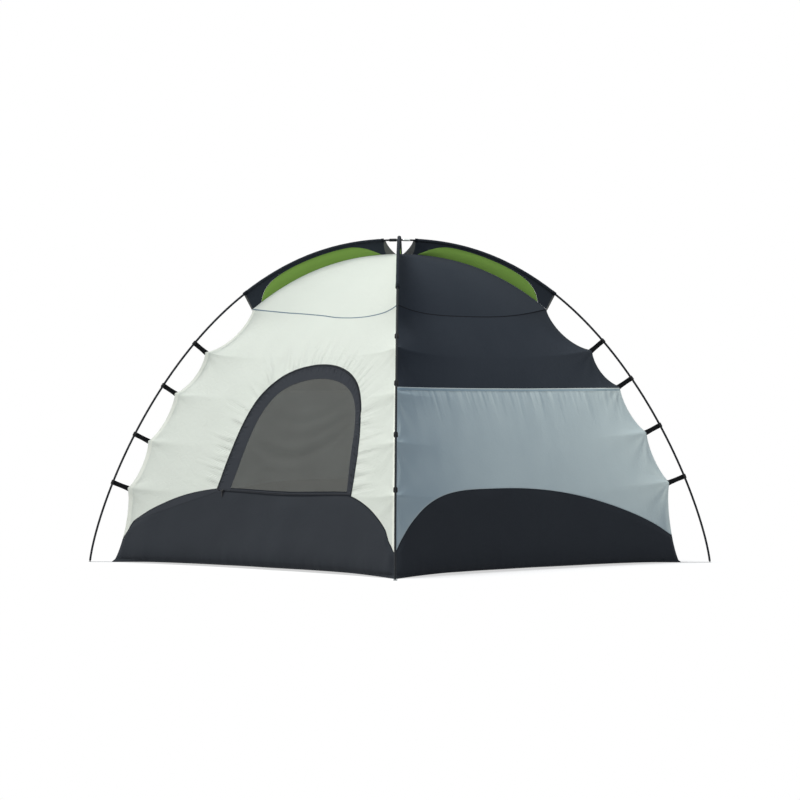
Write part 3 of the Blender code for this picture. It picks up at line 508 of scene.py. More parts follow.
def place_on_wall(face, along, up):
    """u and angle of the wall's point at a distance along it and a height."""
    u, angle = along, angle_at_height(up + 0.02)
    step = 1e-3
    for _ in range(7):
        here = wall_point(face, u, angle)
        across, upward = wall_point(face, u + step, angle), wall_point(face, u, angle + step)
        a, b = (across[0] - here[0]) / step, (upward[0] - here[0]) / step
        c, d = (across[2] - here[2]) / step, (upward[2] - here[2]) / step
        miss = along - here[0], up - here[2]
        whole = a * d - b * c
        u = clamped(u + (miss[0] * d - miss[1] * b) / whole, -1.0, 1.0)
        angle = clamped(angle + (miss[1] * a - miss[0] * c) / whole, 0.01, 1.55)
    return u, angle


def sill_level(along):
    """Height of the door's sill, which sags a little in its middle."""
    return SILL_HEIGHT - SILL_SAG * exp(-(((along - SILL_MIDDLE) / 0.34) ** 2))


def tub_edge(face, u):
    """Height of the tub's top edge, an arch that drops at a door face's corners and that its sill cuts."""
    edge = TUB_EDGES["door" if face in DOOR_FACES else "side"]
    way, end = ("left", -1) if u < edge["left"][1] else ("right", 1)
    foot, level, power = edge[way]
    share = max((u - level) / (end - level), 0.0)
    height = foot + (edge["top"] - foot) * (1 - share**power)
    if face not in DOOR_FACES:
        return height
    if way == "left":
        height -= LEFT_CORNER_DROP * max((share - 0.93) / 0.07, 0.0) ** 1.5
    else:
        height -= FRONT_CORNER_DROP * clamped((share - 0.88) / 0.035)
    along = u * 1.16
    return min(height, sill_level(along) + 0.02 * clamped((-0.44 - along) / 0.03))


def hinge_along(up):
    share = (up - HINGE_FOOT[1]) / (HINGE_HEAD[1] - HINGE_FOOT[1])
    return HINGE_FOOT[0] + (HINGE_HEAD[0] - HINGE_FOOT[0]) * share


def off_door_lines(along, up):
    """0 on the door's hinge line and its sill, which the sewing holds taut, and 1 a little way off both."""
    past_hinge = max(up - HINGE_HEAD[1], HINGE_FOOT[1] - up, 0.0)
    off_hinge = hypot(along - hinge_along(up), past_hinge)
    past_sill = max(abs(along - SILL_MIDDLE) - SILL_HALF, 0.0)
    off_sill = hypot(up - sill_level(along), past_sill)
    return min(off_hinge / TAUT_REACH, 1.0) * min(off_sill / TAUT_REACH, 1.0)


def cloth_shift(face, u, angle, along, up):
    """How far slack cloth stands off its taut shape: soft billows, and fans of creases from each strap."""
    seed = CREASE_SEEDS[face]
    slack, fan = (1.0, 0.0020) if face in DOOR_FACES else (0.35, 0.0045)
    total = 0.0
    for depth, wide, tall, drift in BILLOWS:
        total += depth * uneven(along / wide + seed, up / tall, drift * seed)
    leg = wall_leg(face, u)
    for k, height in enumerate(CLIP_HEIGHTS[leg]):
        held = angle_at_height(height)
        inset = looked_up(seam_table[leg], held)[0] / sqrt(2) - abs(along)
        above = (angle - held) * ARCH_LENGTH_PER_ANGLE
        far = hypot(inset, above)
        if far < 0.7:
            spread = atan2(above, max(inset, 0.001))
            total += fan * exp(-far / 0.16) * sin(spread * 9 + k * 1.7) * min(far / 0.05, 1.0)
    if face in DOOR_FACES:
        total *= off_door_lines(along, up)
    return slack * total * min((1 - abs(u)) * max(looked_up(mean_table, angle)[0], 0.05) / 0.05, 1.0)


def skin(face, u, angle, lift=0.0):
    """A point of a wall's slack cloth, and its outward side, in the tent's axes."""
    along, out, up = wall_point(face, u, angle)
    side = wall_normal(face, u, angle)
    spot = Vector((along, out, up)) + side * (cloth_shift(face, u, angle, along, up) + lift)
    return to_tent(face, *spot), to_tent(face, *side)


def cloth_mesh(columns, rows, place, thickness=CLOTH_THICKNESS):
    """A sheet that place(across, up) sets point by point: where it is, its outward side, its place in the
    flat cut, and how far along a gathered seam and how far from it that is."""
    bm = bmesh.new()
    layers = bm.verts.layers.float_vector
    outward, cut, gathered = (layers.new(name) for name in ("outward", "cut", "gathered"))
    bmesh.ops.create_grid(bm, x_segments=columns, y_segments=rows, size=1.0)
    for vert in bm.verts:
        spot, side, flat, gather = place((vert.co.x + 1) / 2, (vert.co.y + 1) / 2)
        vert.co = spot
        vert[outward] = side
        vert[cut] = (*flat, 0.0)
        vert[gathered] = (*gather, 0.0)
    for name, layer in (("flat_cut", cut), ("gathers", gathered)):
        flat_map = bm.loops.layers.uv.new(name)
        for face in bm.faces:
            for loop in face.loops:
                loop[flat_map].uv = loop.vert[layer].xy
    bmesh.ops.remove_doubles(bm, verts=bm.verts, dist=1e-5)
    for vert in bmesh.ops.extrude_face_region(bm, geom=bm.faces[:])["geom"]:
        if isinstance(vert, bmesh.types.BMVert):
            vert.co -= vert[outward] * thickness
    bmesh.ops.recalc_face_normals(bm, faces=bm.faces)
    for name in ("outward", "cut", "gathered"):
        layers.remove(layers[name])
    return mesh_of(bm, "cloth")


UNGATHERED = (0.0, 9.0)


def panel_mesh(face, columns, rows, low, high, extra=None, span=(-1.0, 1.0), lift=0.0, floor_edge=False):
    """A wall's cloth between two edges, given as angles over u. extra(along, up, below) gives its own creases
    on top of the wall's, in metres, and its gathers."""
    lows, highs = {}, {}

    def place(across, share):
        u = sin((across * 2 - 1) * pi / 2) * 0.4 + (across * 2 - 1) * 0.6
        u = span[0] + (span[1] - span[0]) * (u + 1) / 2
        if across not in lows:
            lows[across], highs[across] = low(u), high(u)
        angle = lows[across] + (highs[across] - lows[across]) * share
        along, out, up = wall_point(face, u, angle)
        raised = FLOOR_LIFT * (1 - abs(u) ** BOW_POWER) * (1 - share) ** 2 if floor_edge else 0.0
        side = wall_normal(face, u, angle)
        shift, gather = cloth_shift(face, u, angle, along, up), UNGATHERED
        if extra:
            own, gather = extra(along, up, (highs[across] - angle) * ARCH_LENGTH_PER_ANGLE)
            shift += own * min((1 - abs(u)) / 0.03, 1.0)
        if floor_edge:
            shift *= min(up / 0.03, 1.0)
        spot = Vector((along, out, up)) + side * (shift + lift) + Vector((0, 0, raised))
        return to_tent(face, *spot), to_tent(face, *side), (along, angle * 1.62), gather

    return cloth_mesh(columns, rows, place)


# Fabrics: plain-woven polyester, dull and a little sheer, with faint crinkles that never press out.
# The yarns are 0.3 mm apart on the real cloth and are drawn 3 mm apart, so that they show as a fine grain.
YARN_SHOWN = 0.003


def waves_every(pitch):
    """The scale of a wave texture whose waves are this far apart."""
    return pi / 10 / pitch


def gathered_folds(tree, under, pitch, reach, depth):
    """Folds square to a seam, of uneven length, that die away from it. The gathers map places them."""
    seam = add_node(tree, "UVMap", uv_map="gathers").outputs["UV"]
    along = {0: seam, 1: (1 / pitch, 0.12 / pitch, 1.0)}
    along = add_node(tree, "VectorMath", along, operation="MULTIPLY").outputs[0]
    waves = add_node(tree, "TexNoise", {"Vector": along, "Scale": 1.0, "Detail": 0.6}).outputs["Fac"]
    spread = {0: seam, 1: (0.45 / pitch, 0.0, 1.0)}
    spread = add_node(tree, "VectorMath", spread, operation="MULTIPLY").outputs[0]
    length = add_node(tree, "TexNoise", {"Vector": spread, "Scale": 1.0, "Detail": 1.0}).outputs["Fac"]
    ends = {"From Min": 0.3, "From Max": 0.7, "To Min": 0.35 * reach, "To Max": 1.3 * reach}
    end = add_node(tree, "MapRange", {"Value": length, **ends}).outputs[0]
    far = add_node(tree, "SeparateXYZ", {0: seam}).outputs["Y"]
    share = add_node(tree, "Math", {0: far, 1: end}, operation="DIVIDE").outputs[0]
    left = {"Value": share, "From Min": 0.0, "From Max": 1.0, "To Min": 1.0, "To Max": 0.0}
    left = add_node(tree, "MapRange", left, interpolation_type="SMOOTHERSTEP").outputs[0]
    middle = add_node(tree, "Math", {0: waves, 1: 0.5}, operation="SUBTRACT").outputs[0]
    height = add_node(tree, "Math", {0: middle, 1: left}, operation="MULTIPLY").outputs[0]
    deep = {"Height": height, "Strength": 1.0, "Distance": depth, "Normal": under}
    return add_node(tree, "Bump", deep).outputs[0]


def woven_polyester(name, colour, shade, sheerness=0.0, crinkle=1.0, gathers=None, roughness=0.8):
    """Dull woven cloth: a fine grain, faint clouds of shade 0.3 m wide and soft crinkles 40 mm wide. Sheer
    cloth glows against the light. gathers are the folds that spread from a seam: their pitch, how far they
    reach, and their depth."""
    made, tree, shader, place = plain_surface(name, roughness, 0.06)
    on_cut = {"Vector": place["UV"], "Scale": waves_every(YARN_SHOWN)}
    yarns = [add_node(tree, "TexWave", on_cut, bands_direction=way).outputs["Fac"] for way in "XY"]
    weave = add_node(tree, "Math", {0: yarns[0], 1: yarns[1]}, operation="MULTIPLY").outputs[0]
    cloud = {"Vector": place["Object"], "Scale": 3.2, "Detail": 4.0}
    cloud = add_node(tree, "TexNoise", cloud).outputs["Fac"]
    crumple = {"Vector": place["Object"], "Scale": 24.0, "Detail": 4.0, "Distortion": 1.2, "Roughness": 0.5}
    crumple = add_node(tree, "TexNoise", crumple).outputs["Fac"]
    amount = add_node(tree, "Math", {0: cloud, 1: 0.75}, operation="MULTIPLY").outputs[0]
    amount = {0: weave, 1: 0.25, 2: amount}
    amount = add_node(tree, "Math", amount, operation="MULTIPLY_ADD").outputs[0]
    tint = two_toned(tree, shader, amount, shade, colour)
    fine = add_node(tree, "Bump", {"Height": weave, "Strength": 0.18, "Distance": 0.0003}).outputs[0]
    deep = {"Height": crumple, "Strength": 0.45 * crinkle, "Distance": 0.004, "Normal": fine}
    folds = add_node(tree, "Bump", deep).outputs[0]
    if gathers:
        folds = gathered_folds(tree, folds, *gathers)
    tree.links.new(folds, shader.inputs["Normal"])
    if sheerness:
        glow = add_node(tree, "BsdfTranslucent", {"Color": tint, "Normal": folds}).outputs[0]
        both = add_node(tree, "MixShader", {0: sheerness, 1: shader.outputs[0], 2: glow}).outputs[0]
        tree.links.new(both, tree.nodes["Material Output"].inputs["Surface"])
    return made


white_cloth = woven_polyester(
    "white_woven_polyester", "#e9ede7", "#e1e6df", 0.4, 1.0, (0.036, 0.30, 0.018)
), "white_polyester"
dark_cloth = woven_polyester("charcoal_woven_polyester", "#31373f", "#2a3038", 0.1, 0.8), "dark_polyester"
blue_grey_cloth = woven_polyester(
    "blue_grey_woven_polyester", "#afbfc6", "#a3b4bd", 0.2, 0.4, (0.036, 0.24, 0.005)
), "blue_grey_polyester"
tub_cloth = woven_polyester(
    "coated_oxford_polyester", "#2f3338", "#292c31", 0.0, 0.6, (0.06, 0.16, 0.008), 0.72
), "coated_tub_fabric"
slate_cloth = woven_polyester(
    "slate_woven_polyester", "#35383d", "#2e3136", 0.0, 0.9, (0.02, 0.06, 0.02)
), "dark_polyester"
green_cloth = woven_polyester("green_woven_polyester", "#8bb156", "#7fa54d", 0.2, 0.5), "green_polyester"

# Tub: a coated floor turned up into low side walls, so that no seam lies on the wet ground.
# Its arched top edge is sewn to the walls, and its floor edges draw in between the corners.
TUB_ROLL = 0.0190
TUB_ROLL_HEIGHT = 0.085
FLOOR_RUMPLE = 0.0020
ROOF_SEAM_LEAN = 0.012
SIDE_SEAM_SAG = 0.006

roof_angle = angle_at_height(FIN_SEAM_HEIGHT)
side_seam_angle = angle_at_height(SIDE_SEAM_HEIGHT)
side_seam_level = {
    face: sum(wall_point(face, end, side_seam_angle)[2] for end in (-1, 1)) / 2 for face in FACES
}


def tub_top(face):
    return lambda u: angle_on_wall(face, u, tub_edge(face, u))


def roof_seam(face):
    """The roof's seam. On the door faces it hangs lowest right of its middle."""
    lean = ROOF_SEAM_LEAN if face in DOOR_FACES else 0.0
    return lambda u: roof_angle - lean * sin(pi * u)


def side_seam(face, above=0.0):
    """The side walls' own seam runs level, a few millimetres lower in its middle."""
    return lambda u: angle_on_wall(face, u, side_seam_level[face] - SIDE_SEAM_SAG * (1 - u * u) + above)


def tub_creases(along, up, below):
    """The coated tub is stiffer: it rolls under along its floor seam, with soft upright folds over it."""
    roll = TUB_ROLL * (up / TUB_ROLL_HEIGHT) * exp(1 - up / TUB_ROLL_HEIGHT)
    fold = 0.0040 * uneven(along * 6.0, up * 1.5, 1.5)
    return (roll + fold) * min(below / 0.05, 1.0), (along, up)


for face in FACES:
    mesh = panel_mesh(face, 140, 40, lambda u: 0.0, tub_top(face), tub_creases, floor_edge=True)
    made = finished(f"tub_cloth_{face}", mesh, tub_cloth, f"tub_wall_{face}")


def floor_place(across, up):
    """A point of the groundsheet. Its edges follow the walls' feet, and its corners reach out to the tabs."""
    even = mean_table[0][0]
    half = even / sqrt(2) - 0.001
    x, y = sin((across - 0.5) * pi), sin((up - 0.5) * pi)
    full_x, full_y = 1 - abs(x) ** BOW_POWER, 1 - abs(y) ** BOW_POWER
    edge_x, edge_y = (max((abs(t) - 0.85) / 0.15, 0.0) ** 2 for t in (x, y))
    lift = FLOOR_LIFT * max(full_x * edge_y, full_y * edge_x)
    half_x = half - WALL_BOW * full_y - 0.002 * abs(y) ** 6
    half_y = half - WALL_BOW * full_x - 0.002 * abs(x) ** 6
    leg = FACES["front" if y < 0 else "rear"][0 if x * y > 0 else 1]
    away = hypot(1 - abs(x), 1 - abs(y)) * even / sqrt(2)
    draw = corner_fade(away) * (seam_table[leg][0][0] - even) / sqrt(2)
    middle = (1 - x**8) * (1 - y**8)
    rumple = FLOOR_RUMPLE * middle * (0.8 + uneven(x * 4.0, y * 4.0, 2.0))
    spot = Vector((x * (half_x + draw), y * (half_y + draw), lift + 0.0008 + rumple))
    return spot, Vector((0, 0, -1)), (spot.x, spot.y), UNGATHERED


made = finished("floor_cloth", cloth_mesh(90, 90, floor_place), tub_cloth, "groundsheet")

# Door: its arch is cut out of the white wall, and the leaf turns about a straight line along its sewn side.
# The outlines below are drawn on the wall's own axes, along it and up.
DOOR_ARCH = {"centre": 0.151, "half": 0.603, "taper": 0.172, "power": 6.5, "base": SILL_HEIGHT, "top": 1.172}
WINDOW_ARCH = {"centre": 0.180, "half": 0.519, "taper": 0.148, "power": 7.5, "base": 0.456, "top": 1.092}
HINGE_BORDER = 0.038
DOOR_LINE_STEP = 0.012
HOLE_BELOW_SILL = 0.06


def arch_line(outline, inset, hinge_gap, points=150):
    """An arch from its left foot over its top to its right foot, cut off by the hinge line."""
    line = []
    for i in range(points + 1):
        turn = pi * (0.5 - 0.5 * cos(pi * i / points))
        share = sin(turn) ** (2 / outline["power"]) if 0 < i < points else 0.0
        half = outline["half"] - inset - outline["taper"] * share
        up = outline["base"] + (outline["top"] - inset - outline["base"]) * share
        line.append((min(outline["centre"] - half * cos(turn), hinge_along(up) - hinge_gap), up))
    return line


def cut_level(line, foot):
    """An arch's line with its two ends moved along it to a height."""
    ends = []
    for (a0, up0), (a1, up1) in ((line[0], line[1]), (line[-1], line[-2])):
        ends.append((a0 + (a1 - a0) * (foot - up0) / (up1 - up0), foot))
    return [ends[0], *line[1:-1], ends[1]]


def lengths_along(line):
    lengths = [0.0]
    for before, after in zip(line, line[1:]):
        lengths.append(lengths[-1] + dist(before, after))
    return lengths


def evenly(line, step):
    """A line's points again, at even distances."""
    lengths = lengths_along(line)
    count = max(int(lengths[-1] / step), 2)
    points, i = [], 0
    for k in range(count + 1):
        far = lengths[-1] * k / count
        while i < len(lengths) - 2 and lengths[i + 1] < far:
            i += 1
        share = (far - lengths[i]) / max(lengths[i + 1] - lengths[i], 1e-9)
        points.append(between(line[i], line[i + 1], share))
    return points


door_outline = evenly(arch_line(DOOR_ARCH, 0.0, 0.0), DOOR_LINE_STEP)


def beside_door(along, up):
    """Distance round the door's arch, and distance from it."""
    if not (-0.95 < along < 1.15 and up < 1.55):
        return UNGATHERED
    far, i = min((hypot(along - a, up - b), i) for i, (a, b) in enumerate(door_outline))
    return (i * DOOR_LINE_STEP, far) if far < 0.4 else UNGATHERED


# White walls: the door walls run in one piece from the tub to the roof seam, with a D-shaped door hole.
# The zip's easing ruffles the cloth round the arch.
RUFFLE_DEPTH = 0.0036
RUFFLE_REACH = (0.15, 0.08)


def white_wall_creases(along, up, below):
    turn, far = beside_door(along, up)
    ruffle = 0.0
    if far < 0.3:
        reach = RUFFLE_REACH[0] + RUFFLE_REACH[1] * uneven(turn * 8.0, 2.0, 3.0)
        ruffle = RUFFLE_DEPTH * uneven(turn * 20.0, far * 3.0, 7.0) * exp(-far / reach)
        ruffle *= min(max(far - 0.020, 0.0) / 0.020, 1.0)
    return ruffle, (turn, far)


def cut_door_hole(mesh, face):
    """Cuts the door's arch through a wall's cloth, down to the tub."""
    line = arch_line(DOOR_ARCH, 0.0, 0.0)
    foot = SILL_HEIGHT - HOLE_BELOW_SILL
    line = [(line[0][0], foot), *line, (line[-1][0], foot)]
    bm = bmesh.new()
    outline = bm.faces.new([bm.verts.new(to_tent(face, along, 0.6, up)) for along, up in line])
    swept = bmesh.ops.extrude_face_region(bm, geom=[outline])["geom"]
    swept = [part for part in swept if isinstance(part, bmesh.types.BMVert)]
    bmesh.ops.translate(bm, verts=swept, vec=to_tent(face, 0, 0.8, 0))
    bmesh.ops.remove_doubles(bm, verts=bm.verts, dist=1e-6)
    bmesh.ops.recalc_face_normals(bm, faces=bm.faces)
    cutter, whole = added("door_hole", mesh_of(bm, "door_hole")), added("whole_wall", mesh)
    step = whole.modifiers.new("door_hole", "BOOLEAN")
    step.operation = "DIFFERENCE"
    step.solver = "EXACT"
    step.object = cutter
    cut = bpy.data.meshes.new_from_object(whole.evaluated_get(bpy.context.evaluated_depsgraph_get()))
    for made in (cutter, whole):
        bpy.data.objects.remove(made)
    return cut


def roof_cloth(face, cloth):
    mesh = panel_mesh(face, 90, 44, roof_seam(face), lambda u: pi / 2)
    made = finished(f"roof_cloth_{face}", mesh, cloth, f"roof_panel_{face}")


for face in DOOR_FACES:
    mesh = cut_door_hole(panel_mesh(face, 250, 150, tub_top(face), roof_seam(face), white_wall_creases), face)
    made = finished(f"white_wall_{face}", mesh, white_cloth, f"wall_panel_{face}")
    roof_cloth(face, white_cloth)

# Side walls: a dark upper panel over a blue-grey one that is gathered into the seam between them. The roof
# above is dark too. The gathers draw the lower panel in under the seam, and it swells out again below them.
GATHER_TUCK = 0.0045
GATHER_DEPTH = 0.0012
GATHER_REACH = 0.22


def side_wall_creases(along, up, below):
    tuck = -GATHER_TUCK * exp(-below / 0.012)
    long = uneven(along * 15.0 + 0.7 * below, below * 0.9, 5.5)
    grow = min(below / 0.02, 1.0)
    return tuck + grow * GATHER_DEPTH * long * exp(-below / GATHER_REACH), (along, below)


for face in ("right", "left"):
    mesh = panel_mesh(face, 230, 90, tub_top(face), side_seam(face), side_wall_creases)
    made = finished(f"blue_grey_wall_{face}", mesh, blue_grey_cloth, f"wall_panel_lower_{face}")
    mesh = panel_mesh(face, 140, 60, side_seam(face, -0.0015), roof_seam(face))
    made = finished(f"dark_wall_{face}", mesh, dark_cloth, f"wall_panel_upper_{face}")
    roof_cloth(face, dark_cloth)

# Seams: narrow folded bands over every join of two cloths: blue-grey under the white roof, a pale fold along
# the side seam over a darker band that is painted shade under the seam, and round the tub black under the
# white wall and pale under the blue-grey one.
# The white wall is folded double along its corner seams, which lets less light through there; the doubled
# strip is also drawn a little lighter than the wall, as a painted highlight along each scalloped edge.


def seam_mesh(face, path, width, lift, thickness=CLOTH_THICKNESS, rows=2, crown=0.0):
    """A band laid along a path of (u, angle) points on a wall."""
    spots = [skin(face, u, angle) for u, angle in path]
    lengths = lengths_along([spot for spot, side in spots])
    last = len(path) - 1

    def place(share, across):
        i = round(share * last)
        spot, side = spots[i]
        tangent = (spots[min(i + 1, last)][0] - spots[max(i - 1, 0)][0]).normalized()
        shift = (across - 0.5) * width
        rise = lift + crown * (1 - (2 * across - 1) ** 2)
        return spot + tangent.cross(side) * shift + side * rise, side, (lengths[i], shift), (lengths[i], 9.0)

    return cloth_mesh(last, rows, place, thickness)


def across_wall(angle_at, count=240):
    places = [-0.996 + 1.992 * i / count for i in range(count + 1)]
    return [(u, angle_at(u)) for u in places]


blue_grey_binding = woven_polyester(
    "blue_grey_binding", "#6f818d", "#63757f", crinkle=0.2
), "blue_grey_polyester"
# A darker blue-grey band just under the side seam: painted shade where the seam overhangs the gathers.
side_seam_painted_shade = woven_polyester("blue_grey_painted_seam_shade", "#8599a6", "#7b8f9c", crinkle=0.2), "blue_grey_polyester"
# Doubled white hem: less sheer than the wall, and a little lighter as a painted highlight on the corner
# edges.
hem_with_painted_highlight = woven_polyester("doubled_hem_painted_highlight", "#eef1e8", "#e8ebe2", 0.2, 0.4), "white_polyester"
pale_fold = woven_polyester("folded_blue_grey_edge", "#b4c0c2", "#a6b3b7", crinkle=0.2), "blue_grey_polyester"
dark_binding = woven_polyester("black_binding_tape", "#1d2127", "#181b20", crinkle=0.2), "dark_polyester"

# Each band's name, its level, its width, how far it stands off the cloth, and its finish.
DOOR_FACE_BANDS = (
    ("roof_seam", roof_seam, 0.0065, 0.0009, blue_grey_binding),
    ("tub_seam", tub_top, 0.0070, 0.0009, dark_binding),
)
SIDE_FACE_BANDS = (
    ("roof_seam", roof_seam, 0.0065, 0.0009, dark_binding),
    ("tub_seam", tub_top, 0.0055, 0.0009, pale_fold),
    ("side_seam", lambda face: side_seam(face, -0.0018), 0.0055, 0.0012, pale_fold),
    # The darker band under the side seam is painted shade.
    ("side_seam_painted_shade", lambda face: side_seam(face, -0.0100), 0.0120, 0.0008, side_seam_painted_shade),
)
HEM_HIGHLIGHT_SPANS = {"left": (-1.0, -0.972), "right": (0.972, 1.0)}

for face in FACES:
    door_side = face in DOOR_FACES
    for name, level, width, lift, finish in DOOR_FACE_BANDS if door_side else SIDE_FACE_BANDS:
        finished(f"{name}_{face}", seam_mesh(face, across_wall(level(face)), width, lift), finish)
    for side, span in HEM_HIGHLIGHT_SPANS.items() if door_side else ():
        # Strips of doubled hem by each corner seam, which carry the painted highlight.
        mesh = panel_mesh(face, 6, 220, tub_top(face), roof_seam(face), span=span, lift=0.0008)
        made = finished(f"corner_hem_{side}_{face}", mesh, hem_with_painted_highlight)

# Tub facings: slate cloth sewn over each door tub's shoulder, beside the door's left foot.
# It is deepest half way and tapers to nothing.
FACING_SPAN = (-0.95, -0.36)
FACING_DEPTH = 0.046
FACING_LIFT = 0.0012


def facing_foot(face):
    def angle_at(u):
        share = clamped((u - FACING_SPAN[0]) / (FACING_SPAN[1] - FACING_SPAN[0]))
        return angle_on_wall(face, u, tub_edge(face, u) - 0.003 - FACING_DEPTH * sin(pi * share) ** 0.8)

    return angle_at


for face in DOOR_FACES:
    mesh = panel_mesh(face, 60, 6, facing_foot(face), tub_top(face), tub_creases, FACING_SPAN, FACING_LIFT)
    made = finished(f"tub_facing_{face}", mesh, slate_cloth)

# Door leaf: netting in a gathered slate border. The wall carries a facing beside the hinge line,
# which gives the door's sewn side its soft outward curve.
NET_SHOWN = 0.004
BORDER_INSET = 0.009
WINDOW_MIDDLE_HEIGHT = 0.76
FACING_FOOT = 0.436
FACING_MARKS = (
    (0.7155, 0.453), (0.7105, 0.560), (0.699, 0.690), (0.678, 0.780), (0.6545, 0.840), (0.6445, 0.872)
)


def insect_netting(name, thin, full):
    """Fine knitted netting: dark yarns with light between them. The 1 mm holes are too fine to show, so the
    yarns are drawn as a 4 mm grid that thins the cloth a little between them, from full to thin cover."""
    made, tree, shader, place = plain_surface(name, 0.9, 0.12)
    on_cut = {"Vector": place["UV"], "Scale": waves_every(NET_SHOWN)}
    rows = [add_node(tree, "TexWave", on_cut, bands_direction=way).outputs["Fac"] for way in "XY"]
    yarns = add_node(tree, "Math", {0: rows[0], 1: rows[1]}, operation="MAXIMUM").outputs[0]
    cover = add_node(tree, "MapRange", {"Value": yarns, "To Min": thin, "To Max": full})
    cloud = add_node(tree, "TexNoise", {"Vector": place["Object"], "Scale": 5.0, "Detail": 3.0})
    two_toned(tree, shader, cloud.outputs["Fac"], "#5b5c59", "#656764")
    bump = add_node(tree, "Bump", {"Height": yarns, "Strength": 0.2, "Distance": 0.0004})
    tree.links.new(bump.outputs[0], shader.inputs["Normal"])
    tree.links.new(cover.outputs[0], shader.inputs["Alpha"])
    return made


netting = insect_netting("insect_netting", 0.52, 0.66), "door_mesh"


def sagged(along, up):
    """A point of the door, lowered with the sill's sag near its foot."""
    return along, up + (sill_level(along) - SILL_HEIGHT) * exp(-max(up - SILL_HEIGHT, 0.0) / 0.08)


def closed_line(outline, inset, hinge_gap, foot, across=60):
    line = cut_level(arch_line(outline, inset, hinge_gap), foot)
    left, right = line[0][0], line[-1][0]
    return line + [(right + (left - right) * i / across, foot) for i in range(1, across + 1)]


def on_line(line, share):
    place = share * (len(line) - 1)
    i = min(int(place), len(line) - 2)
    return between(line[i], line[i + 1], place - i)


def between_lines(face, columns, rows, outer, inner, creases):
    """Cloth between two lines on a wall. creases(turn, depth, along, up) lifts it off the wall's cloth."""
    lengths = lengths_along(outer)

    def place(share, depth):
        start, end = on_line(outer, share), on_line(inner, share)
        along, up = sagged(*between(start, end, depth))
        turn = lengths[min(int(share * (len(outer) - 1)), len(lengths) - 1)]
        spot, side = skin(face, *place_on_wall(face, along, up), creases(turn, depth, along, up))
        return spot, side, (along, up), (turn, depth * dist(start, end))

    return cloth_mesh(columns, rows, place)


def gathered_border(turn, depth, along, up):
    """The border is eased into the zip: short puckers that die away towards the netting."""
    pucker = uneven(turn * 30.0, depth * 0.8, 4.0)
    return 0.0022 * pucker * (1 - depth) ** 0.5 * min(depth / 0.08, 1.0)


def slack_netting(turn, depth, along, up):
    """The netting hangs in long shallow arcs between its two sides."""
    hung = up - 0.8 * (along - 0.1) ** 2
    fold = uneven(along * 1.1, hung * 15.0, 8.0)
    return -0.0060 * min(depth * 3.0, 1.0) * (1.0 + 1.2 * fold) - 0.0010


def facing_line():
    """The curve of the door's sewn side, outside the straight line that the door turns on."""
    line = evenly([(hinge_along(FACING_FOOT) + 0.003, FACING_FOOT), *FACING_MARKS], 0.02)
    for _ in range(6):
        threes = zip(line, line[1:], line[2:])
        inner = [((a[0] + 2 * b[0] + c[0]) / 4, (a[1] + 2 * b[1] + c[1]) / 4) for a, b, c in threes]
        line = [line[0], *inner, line[-1]]
    return line


for face in DOOR_FACES:
    door = f"door_{face}"
    outer = closed_line(DOOR_ARCH, BORDER_INSET, 0.002, SILL_HEIGHT + BORDER_INSET)
    inner = closed_line(WINDOW_ARCH, 0.0, HINGE_BORDER, WINDOW_ARCH["base"])
    mesh = between_lines(face, 400, 8, outer, inner, gathered_border)
    made = finished(f"border_cloth_{face}", mesh, slate_cloth, f"door_border_{face}", door)
    hub = [(WINDOW_ARCH["centre"], WINDOW_MIDDLE_HEIGHT)] * len(inner)
    mesh = between_lines(face, 220, 36, inner, hub, slack_netting)
    made = finished(f"netting_{face}", mesh, netting, f"door_mesh_{face}", door)
    curve = facing_line()
    chord = [(min(hinge_along(up) + 0.0005, along - 0.0005), up) for along, up in curve]
    mesh = between_lines(face, 60, 3, curve, chord, lambda turn, depth, along, up: 0.0008)
    made = finished(f"hinge_facing_{face}", mesh, slate_cloth)

# Zips: a black coil round each door's arch and along its sill, on tapes sewn to the wall and to the door.
# The slider and its pull are painted zinc.
ZIP_CORNER = 0.008
ZIP_END_GAP = 0.002

# Moulded black nylon teeth. The real pitch is 1.5 mm and it is drawn at 5 mm, so that it shows.
coil = patterned_surface(
    "black_nylon_coil", ("#101216", "#24272d"), "TexWave", "UV", {"Scale": waves_every(0.005)},
    (0.8, 0.0012), 0.6, 0.12, bands_direction="X",
), "black_nylon_coil"


def zip_line(inset):
    """The zip's run: from the hinge's head over the arch to the sill, and along it to the hinge's foot."""
    sill = SILL_HEIGHT + inset
    arch_part = cut_level(arch_line(DOOR_ARCH, inset, 0.0), sill)
    left = arch_part[0][0]
    line = [p for p in arch_part[1:] if p[0] < hinge_along(p[1]) - 0.006 and p[1] > sill + 0.012]
    line = line[::-1] + [(left + 0.001, sill + 0.006), (left + ZIP_CORNER, sill)]
    end = hinge_along(sill) - ZIP_END_GAP
    line += [(left + ZIP_CORNER + (end - left - ZIP_CORNER) * i / 30, sill) for i in range(1, 31)]
    return evenly([sagged(*p) for p in evenly(line, 0.010)], 0.007)


def laid_on(face, line):
    return [place_on_wall(face, *p) for p in line]


